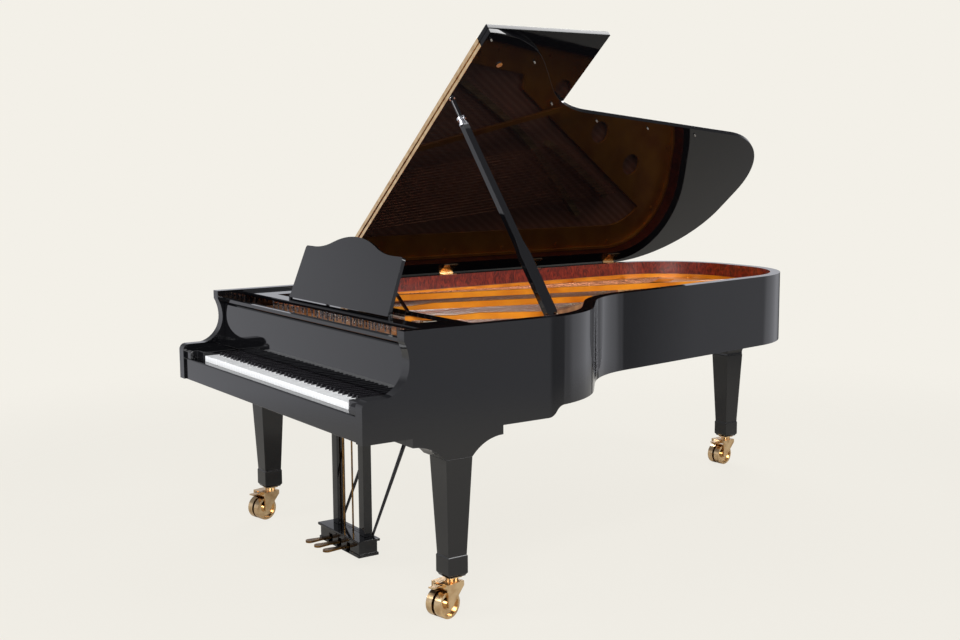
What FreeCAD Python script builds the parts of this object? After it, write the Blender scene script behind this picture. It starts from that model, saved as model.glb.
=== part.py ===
import FreeCAD, Part
import math
import os
import re
import Sketcher
from types import SimpleNamespace
from FreeCAD import Placement, Rotation, Vector

# A concert grand piano: X runs along the keyboard to the treble, Y from the player to the tail, Z up.
# Heights are above the floor and depths are behind the fronts of the two arms, in millimetres.
DIMENSIONS = {
    # case and bent rim
    "setback": 1400, "case_width": 1566, "case_length": 2784, "rim_thickness": 44,
    "rim_top": 1007, "rim_bottom": 688, "side_bottom": 649, "step_start": 750, "step_end": 825,
    "bend_start": 747, "bend_angle": 49, "side_angle": 8.2, "overrun": 20,
    "arm_rise": 145, "arm_round": 26, "arm_flat": 94, "cheek_front": 160,
    "scoop_depth": 179, "scoop_rise": 105, "scoop_top": 974,
    "glue_gap": 0.1, "seat_gap": 0.3, "pin_fit": 0.05,
    "lining_thickness": 2, "lining_front": 660, "inner_rim_thickness": 50, "inner_rim_lift": 4,
    # keybed, key slip and key blocks
    "keybed_back": 740, "keybed_top": 689,
    "slip_front": 8, "slip_back": 40, "slip_top": 737, "slip_round": 4,
    "block_front": 10, "cheek_width": 56, "block_back": 184, "block_top": 772, "block_side_gap": 10, "block_chamfer": 8,
    "key_block_width": 128,
    # beams and soundboard
    "belly_front": 700, "board_bottom": 893, "board_thickness": 9,
    "rib_height": 20, "rib_width": 22, "rib_pitch": 230, "rib_angle": 35,
    "beam_width": 80, "beam_bottom": 716, "beam_top": 866, "tail_plank_depth": 420, "tail_plank_top": 712,
    # iron plate
    "plate_bottom": 914, "plate_top": 928, "plate_gap": 3, "plate_front": 322, "web_back": 528,
    "flange_width": 118, "lip_width": 12, "lip_top": 945, "foot_ring_width": 26,
    "capo_depth": 8, "web_hole_radius": 55, "web_hole_offset": 130,
    "strut_width": 20, "strut_bottom": 966, "strut_top": 982, "strut_crest": 990, "strut_foot": 56,
    "strut_front_foot": 24, "strut_low_length": 190, "strut_slope": 90, "strut_tail": 60,
    "strut_tail_rise": 8,
    "bolt_radius": 10, "bolt_height": 8, "bolt_inset": 32, "pin_plank_front": 334, "pin_plank_bottom": 880,
    # bridges, strings and tuning pins
    "treble_height": 942, "bass_height": 954, "string_gap": 0.2, "steel_radius": 0.6, "bass_radius": 2,
    "bridge_width": 30, "hitch_run": 90, "section_gap": 42, "break_gap": 44, "string_inset": 55,
    "tuning_front": 360, "tuning_rows_pitch": 34, "tuning_radius": 3.4, "tuning_height": 966,
    "tuning_bottom": 890,
    # keys
    "key_gap": 1, "key_front": 43, "key_back": 560, "key_top": 759, "key_height": 24,
    "head_length": 50, "sharp_slot": 13.6, "sharp_width": 10.4, "sharp_back": 216, "sharp_top": 771,
    "sharp_front": 97, "sharp_lead": 5, "sharp_side": 1, "balance_depth": 300,
    # action
    "rail_gap": 0.4, "front_rail_depth": 50, "front_rail_width": 60, "front_rail_top": 718,
    "balance_rail_width": 44, "balance_bead": 3, "back_rail_width": 34, "rail_side_gap": 1,
    "hammer_pivot_depth": 430, "hammer_pivot_height": 868, "shank_height": 6, "hammer_hub": 5,
    "hammer_width": 8,
    "hammer_depth": 560, "hammer_half": 11, "hammer_crown": 70, "hammer_tail": 16, "crown_half": 3,
    "hammer_rail_width": 24, "hammer_rail_height": 16, "hammer_throw": 20.5, "rail_clearance": 0.9,
    "bracket_width": 5,
    "damper_front": 580, "damper_length": 52, "damper_width": 8, "damper_height": 15,
    # fallboard
    "fall_front": 188, "fall_thickness": 22, "fall_bottom": 773, "fall_top": 957, "fall_round": 8,
    "fall_side_gap": 3, "fall_pivot_depth": 196, "fall_pivot_height": 795, "fall_pin_radius": 5,
    "fall_pin_reach": 15,
    # music desk
    "desk_rail_bottom": 968, "desk_rail_top": 983, "desk_rail_width": 26, "desk_rail_front": 330,
    "desk_rail_back": 640,
    "tray_bottom": 983.3, "tray_top": 996, "tray_front": 284, "tray_back": 500, "tray_side_gap": 4,
    "fall_rail_front": 190, "fall_rail_back": 214, "fall_rail_bottom": 960, "fall_rail_top": 973,
    "slot_half": 560, "slot_rib": 14, "rear_slot_front": 350,
    "rear_slot_back": 480,
    "desk_half": 394, "desk_hinge_depth": 334, "desk_hinge_rise": 10, "desk_lean": 20,
    "desk_thickness": 14,
    "desk_shoulder": 214, "desk_peak": 270, "desk_shoulder_half": 306, "desk_taper": 14, "desk_foot": 6,
    "desk_round": 12,
    "desk_lug_width": 12, "desk_lug_radius": 5.6, "desk_pin_reach": 20,
    "desk_pin_radius": 2.5,
    "strut_pivot_rise": 118, "strut_offset": 9, "desk_strut_width": 16, "desk_strut_thickness": 8,
    "desk_strut_half": 300,
    "desk_strut_fall": 55,
    # lid
    "lid_overhang": 12, "lid_gap": 10, "lid_thickness": 20, "lid_angle": 39.14, "lid_line": 744,
    "flap_front": 160, "lid_axis_inset": 6, "lid_axis_rise": 5, "knuckle_radius": 4.5, "hinge_pin_radius": 2,
    "knuckle_length": 24, "knuckle_gap": 0.4, "rim_leaf_length": 38, "rim_leaf_thickness": 2.4,
    "lid_leaf_length": 64, "lid_leaf_thickness": 2.6,
    "long_hinge_offset": 3.4, "long_hinge_rise": 1, "long_knuckle_radius": 3, "long_pin_radius": 1.2,
    "long_leaf_thickness": 1.5, "long_hinge_left": 60, "long_hinge_right": 60,
    "bumper_radius": 3.2, "bumper_inset": 22, "bumper_gap": 1, "cup_radius": 12, "cup_thickness": 4,
    "short_cup_span": 633, "short_cup_depth": 872,
    # prop
    "prop_cup_span": 440, "prop_cup_depth": 757, "prop_foot_inset": 57, "prop_foot_depth": 846,
    "prop_foot_height": 984,
    "prop_eye_radius": 12, "prop_eye_length": 20, "prop_pin_radius": 4, "prop_lug_thickness": 12,
    "prop_post_radius": 5,
    "prop_base_side": 40, "prop_base_thickness": 6, "prop_width": 46, "prop_thickness": 24,
    "prop_neck_width": 30,
    "prop_foot_length": 24, "prop_lug_room": 19, "prop_wide_length": 240, "prop_taper_length": 60,
    "prop_top_width": 26,
    "prop_rod_reach": 119, "prop_rod_radius": 9, "prop_collar_radius": 14, "prop_collar_length": 34,
    "prop_ring_radius": 18, "prop_ring_length": 9,
    "prop_tip_gap": 0.4, "prop_stow_heading": 127.8,
    # legs and leg blocks
    "leg_inset": 53, "leg_depth": 371, "leg_top": 557, "leg_bottom": 137, "leg_top_side": 106,
    "leg_foot_side": 68,
    "leg_collar_side": 80, "leg_collar_bottom": 140, "leg_collar_top": 216, "leg_collar_chamfer": 8,
    "leg_block_front": 188, "leg_block_back": 553, "leg_block_bottom": 617, "leg_block_width": 146,
    "tail_leg_setback": 85, "tail_block_side": 214, "tail_block_bottom": 622,
    # casters
    "caster_plate_side": 50, "caster_plate_thickness": 6, "wheel_radius": 49, "wheel_width": 28,
    "wheel_gap": 12,
    "wheel_hub_radius": 18, "wheel_dish": 9, "wheel_rim": 9, "axle_radius": 6, "caster_trail": 46,
    "fork_clearance": 1.5, "fork_cheek": 6, "fork_eye_radius": 13, "fork_crown_bottom": 106,
    "fork_crown_top": 122,
    "fork_neck_radius": 22, "fork_back": 17, "brake_width": 26, "brake_length": 36, "brake_thickness": 5,
    "brake_gap": 0.4,
    "brake_hub": 6, "brake_pin": 2.5, "brake_ear": 6,
    "caster_turn_left": 12, "caster_turn_right": 12, "caster_turn_tail": 4,
    # pedal lyre
    "lyre_head_half": 132, "lyre_head_front": 322, "lyre_head_back": 408, "lyre_head_bottom": 622,
    "post_span": 106, "post_width": 42, "post_depth": 36, "post_front": 363,
    "box_half": 158, "box_front": 322, "box_back": 402, "box_bottom": 52, "box_top": 118, "box_cap": 10,
    "box_cap_reach": 8,
    "box_plinth": 12, "box_plinth_reach": 4,
    "pedal_pitch": 72, "pedal_slot_width": 26, "pedal_slot_bottom": 56, "pedal_slot_top": 92, "pedal_wall": 8,
    "pedal_front": 214, "pedal_back": 391, "pedal_width": 20, "pedal_toe_width": 34, "pedal_toe_length": 62,
    "pedal_bottom": 74, "pedal_thickness": 8, "pedal_pivot_depth": 356, "pedal_pin_radius": 3,
    "rod_radius": 3.5, "rod_hole": 4.2, "rod_depth": 384, "rod_gap": 0.3, "rod_top": 614,
    "brace_radius": 10, "brace_foot_radius": 5, "brace_span": 124, "brace_foot_depth": 396,
    "brace_foot_height": 108, "brace_top_depth": 640,
}
DIMENSIONS.update({
    "bend_share": 0.2797, "waist_share": 0.28863, "tail_share": 0.27458, "tail_flat_share": 0.0932,
    "hinge_first_share": 0.363, "hinge_step_share": 0.31, "bass_run_share": 0.4, "hollow_share": 0.45,
    "beam_bass_share": -0.62, "beam_middle_share": -0.3, "beam_treble_share": 0.05, "beam_tail_share": 0.4,
    "web_bass_share": -0.664, "web_treble_share": 0.1022, "web_bass_run_share": 0.9007,
    "web_treble_run_share": 0.5284,
    "web_hole_first_share": 0.2, "web_hole_step_share": 0.28,
    "c_sharp_share": -0.14, "d_sharp_share": 0.14, "f_sharp_share": -0.2, "g_sharp_share": 0,
    "a_sharp_share": 0.2,
})

NATURALS = 52
NOTES = 88
BASS_NOTES = 20
FIRST_BREAK = 44
SECOND_BREAK = 66
DAMPED_NOTES = 66
BOLTS = 15
BUMPERS = 6
BUMPER_STEPS = 11
LONG_KNUCKLES = 12
WEB_HOLES = 3
LID_HINGES = 3
RIBS = 9
TUNING_ROWS = 4
NATURAL_NAMES = 12
FIRST_NAME = 9

doc = FreeCAD.newDocument("concert_grand")
sheet = doc.addObject("Spreadsheet::Sheet", "dims")
for row, (name, value) in enumerate(DIMENSIONS.items(), 1):
    sheet.set(f"A{row}", name)
    sheet.set(f"B{row}", str(value))
    sheet.setAlias(f"B{row}", name)
doc.recompute()
s = SimpleNamespace(**{name: float(sheet.get(name)) for name in DIMENSIONS})
half_width = s.case_width / 2
inner_half = half_width - s.rim_thickness
subparts = []


def at(x, depth, z):
    """A point from its place across the case, its depth behind the arms and its height."""
    return Vector(x, depth - s.setback, z)


def cells(text):
    """An expression with every name in it looked up in the sheet."""
    return re.sub(r"[a-z_]+", lambda found: "dims." + found.group(), text)


def keep(label, piece):
    """Give a finished sub-part its name."""
    piece.Label = label
    subparts.append(piece)
    return piece


def feature(label, shapes, placement=None):
    """A sub-part with a set shape, or a group of separate solids."""
    piece = doc.addObject("Part::Feature", label)
    piece.Shape = Part.makeCompound(shapes) if isinstance(shapes, list) else shapes
    if placement:
        piece.Placement = placement
    return keep(label, piece)


def bound_box(name, low, high):
    """A box between two corners, each written in names of the sheet."""
    piece = doc.addObject("Part::Box", name)
    for side, near, far in zip(("Length", "Width", "Height"), low, high):
        piece.setExpression(side, cells(f"({far}) - ({near})"))
    for axis, near in zip("xyz", low):
        shift = " - setback" if axis == "y" else ""
        piece.setExpression(f"Placement.Base.{axis}", cells(f"({near}){shift}"))
    return piece


def group(label, pieces):
    """A sub-part of separate pieces."""
    piece = doc.addObject("Part::Compound", label)
    piece.Links = pieces
    return keep(label, piece)


def outline_sketch(body, plane, points, lift="0"):
    """A closed polygon on an origin plane, with every corner held by two lengths from the sheet."""
    sketch = body.newObject("Sketcher::SketchObject", "outline")
    sketch.AttachmentSupport = [(next(f for f in body.Origin.OriginFeatures if f.Role == plane), "")]
    sketch.MapMode = "FlatFace"
    sketch.setExpression("AttachmentOffset.Base.z", cells(lift))
    count = len(points)
    corners = [Vector(math.cos(2 * math.pi * k / count), math.sin(2 * math.pi * k / count),
                      0) for k in range(count)]
    for k in range(count):
        sketch.addGeometry(Part.LineSegment(corners[k], corners[(k + 1) % count]), False)
    for k in range(count):
        sketch.addConstraint(Sketcher.Constraint("Coincident", k, 2, (k + 1) % count, 1))
    for k, point in enumerate(points):
        for kind, value, start in zip(("DistanceX", "DistanceY"), point, corners[k]):
            index = sketch.addConstraint(Sketcher.Constraint(kind, -1, 1, k, 1, start))
            sketch.setExpression(f"Constraints[{index}]", cells(value))
    return sketch


def pad(body, sketch, length, midplane=False):
    """Give a sketch its thickness."""
    thick = body.newObject("PartDesign::Pad", "pad")
    thick.Profile = sketch
    thick.Midplane = midplane
    thick.setExpression("Length", cells(length))
    return thick


def rectangle(low_x, high_x, low_y, high_y):
    """The corners of a rectangle."""
    return [(low_x, low_y), (high_x, low_y), (high_x, high_y), (low_x, high_y)]


def block(x, depth, z):
    """A box from three pairs of limits."""
    return Part.makeBox(x[1] - x[0], depth[1] - depth[0], z[1] - z[0], at(x[0], depth[0], z[0]))


def rod(start, end, radius):
    """A round bar between two points."""
    return Part.makeCylinder(radius, (end - start).Length, start, end - start)


def prism(points, along):
    """A straight-sided piece from the corners of one end."""
    return Part.Face(Part.makePolygon(points + points[:1])).extrude(along)


def bored(piece, *tools):
    """A piece with other shapes taken out of it."""
    return piece.cut(Part.makeCompound(list(tools)))


def slab(face, bottom, top):
    """A plan face raised between two heights."""
    return face.translated(Vector(0, 0, bottom)).extrude(Vector(0, 0, top - bottom))


def polar(centre, radius, degrees):
    """A plan point at an angle round a centre."""
    turn = math.radians(degrees)
    return centre + Vector(radius * math.cos(turn), radius * math.sin(turn), 0)


# Plan of the case: treble side, convex bend, slant, waist, long side,
# tail with two round corners, straight spine.
bend_radius = s.case_width * s.bend_share
waist_radius = s.case_width * s.waist_share
tail_radius = s.case_width * s.tail_share
bend_centre = at(half_width - bend_radius, s.bend_start, 0)
spine_centre = at(tail_radius - half_width, s.case_length - tail_radius, 0)
tail_centre = spine_centre + Vector(s.case_width * s.tail_flat_share, 0, 0)
slant = math.radians(s.bend_angle)
long_side = math.radians(s.side_angle)
slant_normal = Vector(math.cos(slant), math.sin(slant), 0)
long_normal = Vector(math.cos(long_side), math.sin(long_side), 0)
slant_reach = bend_centre.dot(slant_normal) + bend_radius + waist_radius
long_reach = tail_centre.dot(long_normal) + tail_radius + waist_radius
cross = slant_normal.x * long_normal.y - slant_normal.y * long_normal.x
waist_centre = Vector(
    (slant_reach * long_normal.y - long_reach * slant_normal.y) / cross,
    (long_reach * slant_normal.x - slant_reach * long_normal.x) / cross, 0)


def plan_edges(inset, front):
    """The case outline set in by a distance, from the treble front round to the bass front."""
    bend = bend_radius - inset
    waist = waist_radius + inset
    tail = tail_radius - inset
    low_right = at(half_width - inset, front, 0)
    low_left = at(inset - half_width, front, 0)
    bend_from = polar(bend_centre, bend, 0)
    bend_to = polar(bend_centre, bend, s.bend_angle)
    waist_from = waist_centre - slant_normal * waist
    waist_to = waist_centre - long_normal * waist
    waist_mid = waist_centre - (slant_normal + long_normal).normalize() * waist
    tail_from = polar(tail_centre, tail, s.side_angle)
    tail_to = polar(tail_centre, tail, 90)
    spine_from = polar(spine_centre, tail, 90)
    spine_to = polar(spine_centre, tail, 180)
    return [
        Part.LineSegment(low_right, bend_from).toShape(),
        Part.Arc(bend_from, polar(bend_centre, bend, s.bend_angle / 2), bend_to).toShape(),
        Part.LineSegment(bend_to, waist_from).toShape(),
        Part.Arc(waist_from, waist_mid, waist_to).toShape(),
        Part.LineSegment(waist_to, tail_from).toShape(),
        Part.Arc(tail_from, polar(tail_centre, tail, 45 + s.side_angle / 2), tail_to).toShape(),
        Part.LineSegment(tail_to, spine_from).toShape(),
        Part.Arc(spine_from, polar(spine_centre, tail, 135), spine_to).toShape(),
        Part.LineSegment(spine_to, low_left).toShape(),
        Part.LineSegment(low_left, low_right).toShape(),
    ]


def plan(inset, front):
    """The plan face of the case set in by a distance, cut off at a depth."""
    return Part.Face(Part.Wire(plan_edges(inset, front)))


def wall(outer, inner, front, bottom, top):
    """An upright wall that follows the outline between two insets."""
    return slab(plan(outer, front).cut(plan(inner, front - s.overrun)), bottom, top)


# Outer rim with its two arms, trimmed to one side profile.
arm_height = s.side_bottom + s.arm_rise
scoop_height = arm_height + s.scoop_rise
scoop_run = s.scoop_depth - s.arm_flat
low_arc = scoop_run / 2 + s.scoop_rise ** 2 / scoop_run / 2
high_drop = s.scoop_top - scoop_height
high_step = s.scoop_depth - s.cheek_front
high_arc = high_step / 2 + high_drop ** 2 / high_step / 2
low_turn = math.asin(s.scoop_rise / low_arc)
if low_arc < scoop_run:
    low_turn = math.pi - low_turn
high_turn = math.asin(high_drop / high_arc)
step_rise = s.rim_bottom - s.side_bottom
step_run = s.step_end - s.step_start
step_turn = 2 * math.atan(step_rise / step_run)
step_arc = step_run / 2 / math.sin(step_turn)


def side(depth, z):
    """A point of the side profile."""
    return at(-half_width - s.overrun, depth, z)


def side_arc(centre_depth, centre_z, radius, *turns):
    """A round stretch of the side profile through three angles."""
    points = [side(centre_depth + radius * math.cos(t), centre_z + radius * math.sin(t)) for t in turns]
    return Part.Arc(*points).toShape()


def bracket_edges(x, front, back, middle, bottom):
    """The lower edge of a leg bracket: a flat over the leg and two hollow sweeps up from it."""
    half = s.leg_top_side / 2
    drop = bottom - s.leg_top
    edges = [Part.LineSegment(at(x, middle - half, s.leg_top), at(x, middle + half, s.leg_top)).toShape()]
    for sign, end in ((-1, front), (1, back)):
        run = abs(end - middle) - half
        radius = (run ** 2 + drop ** 2) / drop / 2
        turn = math.atan2(run, radius - drop)
        points = [at(x, end - sign * radius * math.sin(t), bottom - radius + radius * math.cos(t))
                  for t in (turn, turn / 2, 0)]
        edges.append(Part.Arc(*points).toShape())
    return edges


profile_points = [
    [side(s.step_start, s.side_bottom), side(s.leg_block_back, s.side_bottom),
     side(s.leg_block_back, s.leg_block_bottom)],
    [side(s.leg_block_front, s.leg_block_bottom), side(s.leg_block_front, s.side_bottom),
     side(0, s.side_bottom),
     side(0, arm_height - s.arm_round)],
    [side(s.arm_round, arm_height), side(s.arm_flat, arm_height)],
    [side(s.cheek_front, s.scoop_top), side(s.cheek_front, s.rim_top),
     side(s.case_length + s.overrun, s.rim_top),
     side(s.case_length + s.overrun, s.rim_bottom), side(s.step_end, s.rim_bottom)],
]
profile_edges = [
    Part.LineSegment(a, b).toShape() for run in profile_points for a, b in zip(run, run[1:])
]
profile_edges += bracket_edges(
    -half_width - s.overrun, s.leg_block_front, s.leg_block_back, s.leg_depth, s.leg_block_bottom)
profile_edges += [
    side_arc(s.arm_round, arm_height - s.arm_round, s.arm_round, math.pi, math.pi * 3 / 4, math.pi / 2),
    side_arc(s.scoop_depth - low_arc, scoop_height, low_arc, -low_turn, -low_turn / 2, 0),
    side_arc(s.scoop_depth - high_arc, scoop_height, high_arc, 0, high_turn / 2, high_turn),
    side_arc(s.step_start, s.side_bottom + step_arc, step_arc,
             -math.pi / 2, step_turn / 2 - math.pi / 2, step_turn - math.pi / 2),
    side_arc(s.step_end, s.rim_bottom - step_arc, step_arc,
             math.pi / 2, step_turn / 2 + math.pi / 2, step_turn + math.pi / 2),
]
profile_wire = Part.Wire(Part.__sortEdges__(profile_edges))
side_profile = Part.Face(profile_wire).extrude(Vector(s.case_width + 2 * s.overrun, 0, 0))
fall_pivot = at(0, s.fall_pivot_depth, s.fall_pivot_height)
pin_half = inner_half + s.fall_pin_reach
pin_reach = Vector(pin_half, 0, 0)
pivot_bore = rod(fall_pivot - pin_reach, fall_pivot + pin_reach, s.fall_pin_radius + s.pin_fit)
rim_wall = wall(0, s.rim_thickness, 0, s.leg_top, s.rim_top)
feature("outer_rim", bored(rim_wall.common(side_profile), pivot_bore))

lining_face = s.rim_thickness + s.lining_thickness
board_top = s.board_bottom + s.board_thickness
feature("rim_lining", wall(s.rim_thickness, lining_face, s.lining_front, board_top, s.rim_top))
inner_face = s.rim_thickness + s.inner_rim_thickness
feature("inner_rim",
        wall(s.rim_thickness, inner_face, s.keybed_back, s.rim_bottom + s.inner_rim_lift, s.board_bottom))

# Keybed, key slip and key blocks.
keep("keybed", bound_box(
    "keybed", ("rim_thickness - case_width / 2", "slip_back", "side_bottom"),
    ("case_width / 2 - rim_thickness", "keybed_back", "keybed_top")))

slip = doc.addObject("PartDesign::Body", "keyslip")
pad(slip, outline_sketch(slip, "YZ_Plane", [
    ("slip_front - setback", "side_bottom"), ("slip_back - setback", "side_bottom"),
    ("slip_back - setback", "slip_top"), ("slip_front + slip_round - setback", "slip_top"),
    ("slip_front - setback", "slip_top - slip_round")]), "case_width - 2 * rim_thickness", True)
keep("keyslip", slip)

key_end = inner_half - s.key_block_width
key_pitch = 2 * key_end / NATURALS
block_foot = s.slip_back + s.seat_gap
block_step = s.slip_top + s.seat_gap
block_profile = [
    (block_foot, s.keybed_top), (s.block_back, s.keybed_top), (s.block_back, s.block_top),
    (block_foot, s.block_top)]
cheek_profile = [
    (s.block_front, block_step), (s.block_back, block_step), (s.block_back, s.block_top),
    (s.block_front + s.block_chamfer, s.block_top), (s.block_front, s.block_top - s.block_chamfer)]
block_inner = key_end + s.block_side_gap
block_across = Vector(inner_half - block_inner, 0, 0)
cheek_across = Vector(s.cheek_width, 0, 0)
key_blocks = []
for block_x, cheek_x in ((block_inner, inner_half - s.cheek_width), (-inner_half, -inner_half)):
    body = prism([at(block_x, depth, z) for depth, z in block_profile], block_across)
    cheek = prism([at(cheek_x, depth, z) for depth, z in cheek_profile], cheek_across)
    key_blocks.append(body.fuse(cheek).removeSplitter())
feature("key_blocks", key_blocks)

# Beams and soundboard.
cavity = plan(inner_face, s.keybed_back)
belly = block((-inner_half, inner_half), (s.belly_front, s.keybed_back), (s.keybed_top, s.board_bottom))
beam_low = s.case_length - s.tail_plank_depth
tail_plank = slab(cavity, s.rim_bottom + s.inner_rim_lift, s.tail_plank_top).common(
    block((-s.case_width, s.case_width), (beam_low, s.case_length), (0, s.rim_top)))
beams = []
tail_middle = (spine_centre.x + tail_centre.x) / 2
for share in (s.beam_bass_share, s.beam_middle_share, s.beam_treble_share):
    start = at(share * half_width, s.keybed_back, s.beam_bottom)
    end = at(tail_middle + share * half_width * s.beam_tail_share, s.case_length - s.rim_thickness,
             s.beam_bottom)
    across = (end - start).cross(Vector(0, 0, 1)).normalize() * (s.beam_width / 2)
    bar = prism([start - across, start + across, end + across, end - across],
                Vector(0, 0, s.beam_top - s.beam_bottom))
    beams.append(bar.common(slab(cavity, s.beam_bottom, s.beam_top)))
feature("case_beams", [belly, tail_plank] + beams)

board = slab(plan(s.rim_thickness, s.belly_front), s.board_bottom, board_top)
rib_room = slab(cavity, s.board_bottom - s.rib_height, s.board_bottom)
rib_turn = Rotation(Vector(0, 0, 1), s.rib_angle)
ribs = []
rib_middle = at(0, (s.keybed_back + s.case_length) / 2, s.board_bottom - s.rib_height)
for k in range(RIBS):
    shift = (k - (RIBS - 1) / 2) * s.rib_pitch
    bar = Part.makeBox(s.case_length, s.rib_width, s.rib_height, Vector(-s.case_length / 2, shift, 0))
    bar.Placement = Placement(rib_middle, rib_turn)
    piece = bar.common(rib_room)
    ribs += [solid for solid in piece.Solids if solid.BoundBox.DiagonalLength > s.rib_pitch]
feature("soundboard", [board] + ribs)


def string_start(note):
    """Where a note's string crosses the front bearing."""
    if note < BASS_NOTES:
        return at(note * bass_pitch - key_end, s.web_back, s.bass_height)
    gaps = s.section_gap * ((note >= FIRST_BREAK) + (note >= SECOND_BREAK))
    return at(treble_left + (note - BASS_NOTES) * treble_pitch + gaps, s.web_back, s.treble_height)


bass_pitch = key_end * s.bass_run_share / BASS_NOTES
treble_left = bass_pitch * (BASS_NOTES - 1) - key_end + s.break_gap
treble_pitch = (key_end - s.string_inset - treble_left - 2 * s.section_gap) / (NOTES - BASS_NOTES - 1)
board_run = s.case_length - s.web_back
bass_bridge_shares = ((-0.58, 0.79), (-0.42, 0.715), (-0.23, 0.61))
treble_bridge_shares = (
    (-0.7, 0.72), (-0.5, 0.655), (-0.25, 0.57), (0, 0.45), (0.25, 0.305), (0.5, 0.155), (0.69, 0.05))
bass_bridge = [at(half_width * x, s.web_back + board_run * y, 0) for x, y in bass_bridge_shares]
treble_bridge = [at(half_width * x, s.web_back + board_run * y, 0) for x, y in treble_bridge_shares]


def spline(points):
    """A smooth line through points."""
    curve = Part.BSplineCurve()
    curve.interpolate(points)
    return curve


def bridge(points, top):
    """A bridge that follows a smooth line on the soundboard."""
    line = spline(points)
    sides = []
    for sign in (1, -1):
        shifted = []
        for point in points:
            tangent = line.tangent(line.parameter(point))[0]
            shifted.append(point + tangent.cross(Vector(0, 0, 1)) * (sign * s.bridge_width / 2))
        sides.append(spline(shifted))
    ends = [
        Part.LineSegment(sides[0].StartPoint, sides[1].StartPoint).toShape(),
        Part.LineSegment(sides[0].EndPoint, sides[1].EndPoint).toShape()]
    edges = Part.__sortEdges__([sides[0].toShape(), sides[1].toShape()] + ends)
    return slab(Part.Face(Part.Wire(edges)), board_top, top)


feature("bridges", [
    bridge(bass_bridge, s.bass_height - s.bass_radius - s.string_gap),
    bridge(treble_bridge, s.treble_height - s.steel_radius - s.string_gap)])


def bridge_point(points, share):
    """A point along a bridge."""
    line = spline(points)
    return line.value(line.FirstParameter + (line.LastParameter - line.FirstParameter) * share)


def string_line(note):
    """The two ends of a note's string, from its tuning pin to its hitch."""
    start = string_start(note)
    if note < BASS_NOTES:
        point = bridge_point(bass_bridge, (note + 1) / (BASS_NOTES + 1))
    else:
        point = bridge_point(treble_bridge, (note - BASS_NOTES + 1) / (NOTES - BASS_NOTES + 1))
    point.z = start.z
    along = (point - start).normalize()
    pin_depth = s.tuning_front + s.tuning_rows_pitch * (note % TUNING_ROWS)
    return start - along * (s.web_back - pin_depth), point + along * s.hitch_run


def pin_centre(note, radius):
    """The place of a tuning pin beside the start of its string."""
    start = string_line(note)[0]
    return Vector(start.x + s.tuning_radius + radius + s.string_gap, start.y, 0)


def wire_radius(note):
    """The radius of a note's string."""
    return s.bass_radius if note < BASS_NOTES else s.steel_radius


feature("bass_strings", [rod(*string_line(note), s.bass_radius) for note in range(BASS_NOTES)])
feature("steel_strings", [rod(*string_line(note), s.steel_radius) for note in range(BASS_NOTES, NOTES)])
tuning_pins = []
for note in range(NOTES):
    foot = pin_centre(note, wire_radius(note))
    foot.z = s.tuning_bottom
    tuning_pins.append(Part.makeCylinder(s.tuning_radius, s.tuning_height - s.tuning_bottom, foot))
feature("tuning_pins", tuning_pins)

# Iron plate with its bolts, and the pin plank under its front.
plate_edge = lining_face + s.plate_gap
opening = plan(plate_edge + s.flange_width, s.web_back)
tail_corner_depth = s.case_length + s.overrun
web_left = half_width * s.web_bass_share
web_treble_depth = s.web_back + board_run * s.web_treble_run_share
tail_web = [
    at(web_left, s.web_back + board_run * s.web_bass_run_share, 0),
    at(half_width * s.web_treble_share, web_treble_depth, 0),
    at(half_width, web_treble_depth, 0), at(half_width, tail_corner_depth, 0),
    at(web_left, tail_corner_depth, 0)]
opening = opening.cut(Part.Face(Part.makePolygon(tail_web + tail_web[:1])))
web_along = tail_web[1] - tail_web[0]
web_across = Vector(-web_along.y, web_along.x, 0).normalize() * -s.web_hole_offset
plate = slab(plan(plate_edge, s.plate_front).cut(opening), s.plate_bottom, s.plate_top)
holes = [
    Part.makeCylinder(s.web_hole_radius, s.rim_top,
                      tail_web[0] - web_across
                      + web_along * (s.web_hole_first_share + k * s.web_hole_step_share))
    for k in range(WEB_HOLES)]
plate = bored(plate, *holes)
lip = wall(plate_edge, plate_edge + s.lip_width, s.web_back, s.plate_top - s.glue_gap, s.lip_top)
ring = wall(plate_edge, plate_edge + s.foot_ring_width, s.belly_front, board_top, s.plate_bottom + s.glue_gap)
bass_end = string_start(BASS_NOTES - 1).x + s.break_gap / 2
capo_limits = (
    (-inner_half + s.lining_thickness + s.plate_gap, bass_end, s.bass_height - s.bass_radius),
    (bass_end, inner_half - s.lining_thickness - s.plate_gap, s.treble_height - s.steel_radius))
capos = [
    block((left, right), (s.web_back - s.capo_depth, s.web_back), (s.plate_bottom, top - s.string_gap))
    for left, right, top in capo_limits]


def strut(start, end):
    """A raised bar of the plate on a foot at each end, low at the front and higher behind the music desk."""
    along = (end - start).normalize()
    across = along.cross(Vector(0, 0, 1)) * s.strut_width
    length = (end - start).Length
    climb = s.strut_low_length + s.strut_slope
    profile = [(0, s.plate_bottom), (s.strut_front_foot, s.plate_bottom),
               (s.strut_front_foot, s.strut_bottom),
               (length - s.strut_foot, s.strut_bottom), (length - s.strut_foot, s.plate_bottom),
               (length, s.plate_bottom),
               (length, s.plate_top + s.strut_tail_rise), (length - s.strut_tail, s.strut_crest),
               (climb, s.strut_crest), (s.strut_low_length, s.strut_top), (0, s.strut_top)]
    return prism([start + along * run + Vector(0, 0, z) - across / 2 for run, z in profile], across)


def gap_point(note, depth):
    """A point midway between a note's string and the one before it."""
    places = []
    for neighbour in (note - 1, note):
        near, far = string_line(neighbour)
        places.append(near + (far - near) * ((depth - s.setback - near.y) / (far.y - near.y)))
    return at((places[0].x + places[1].x) / 2, depth, 0)


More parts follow.
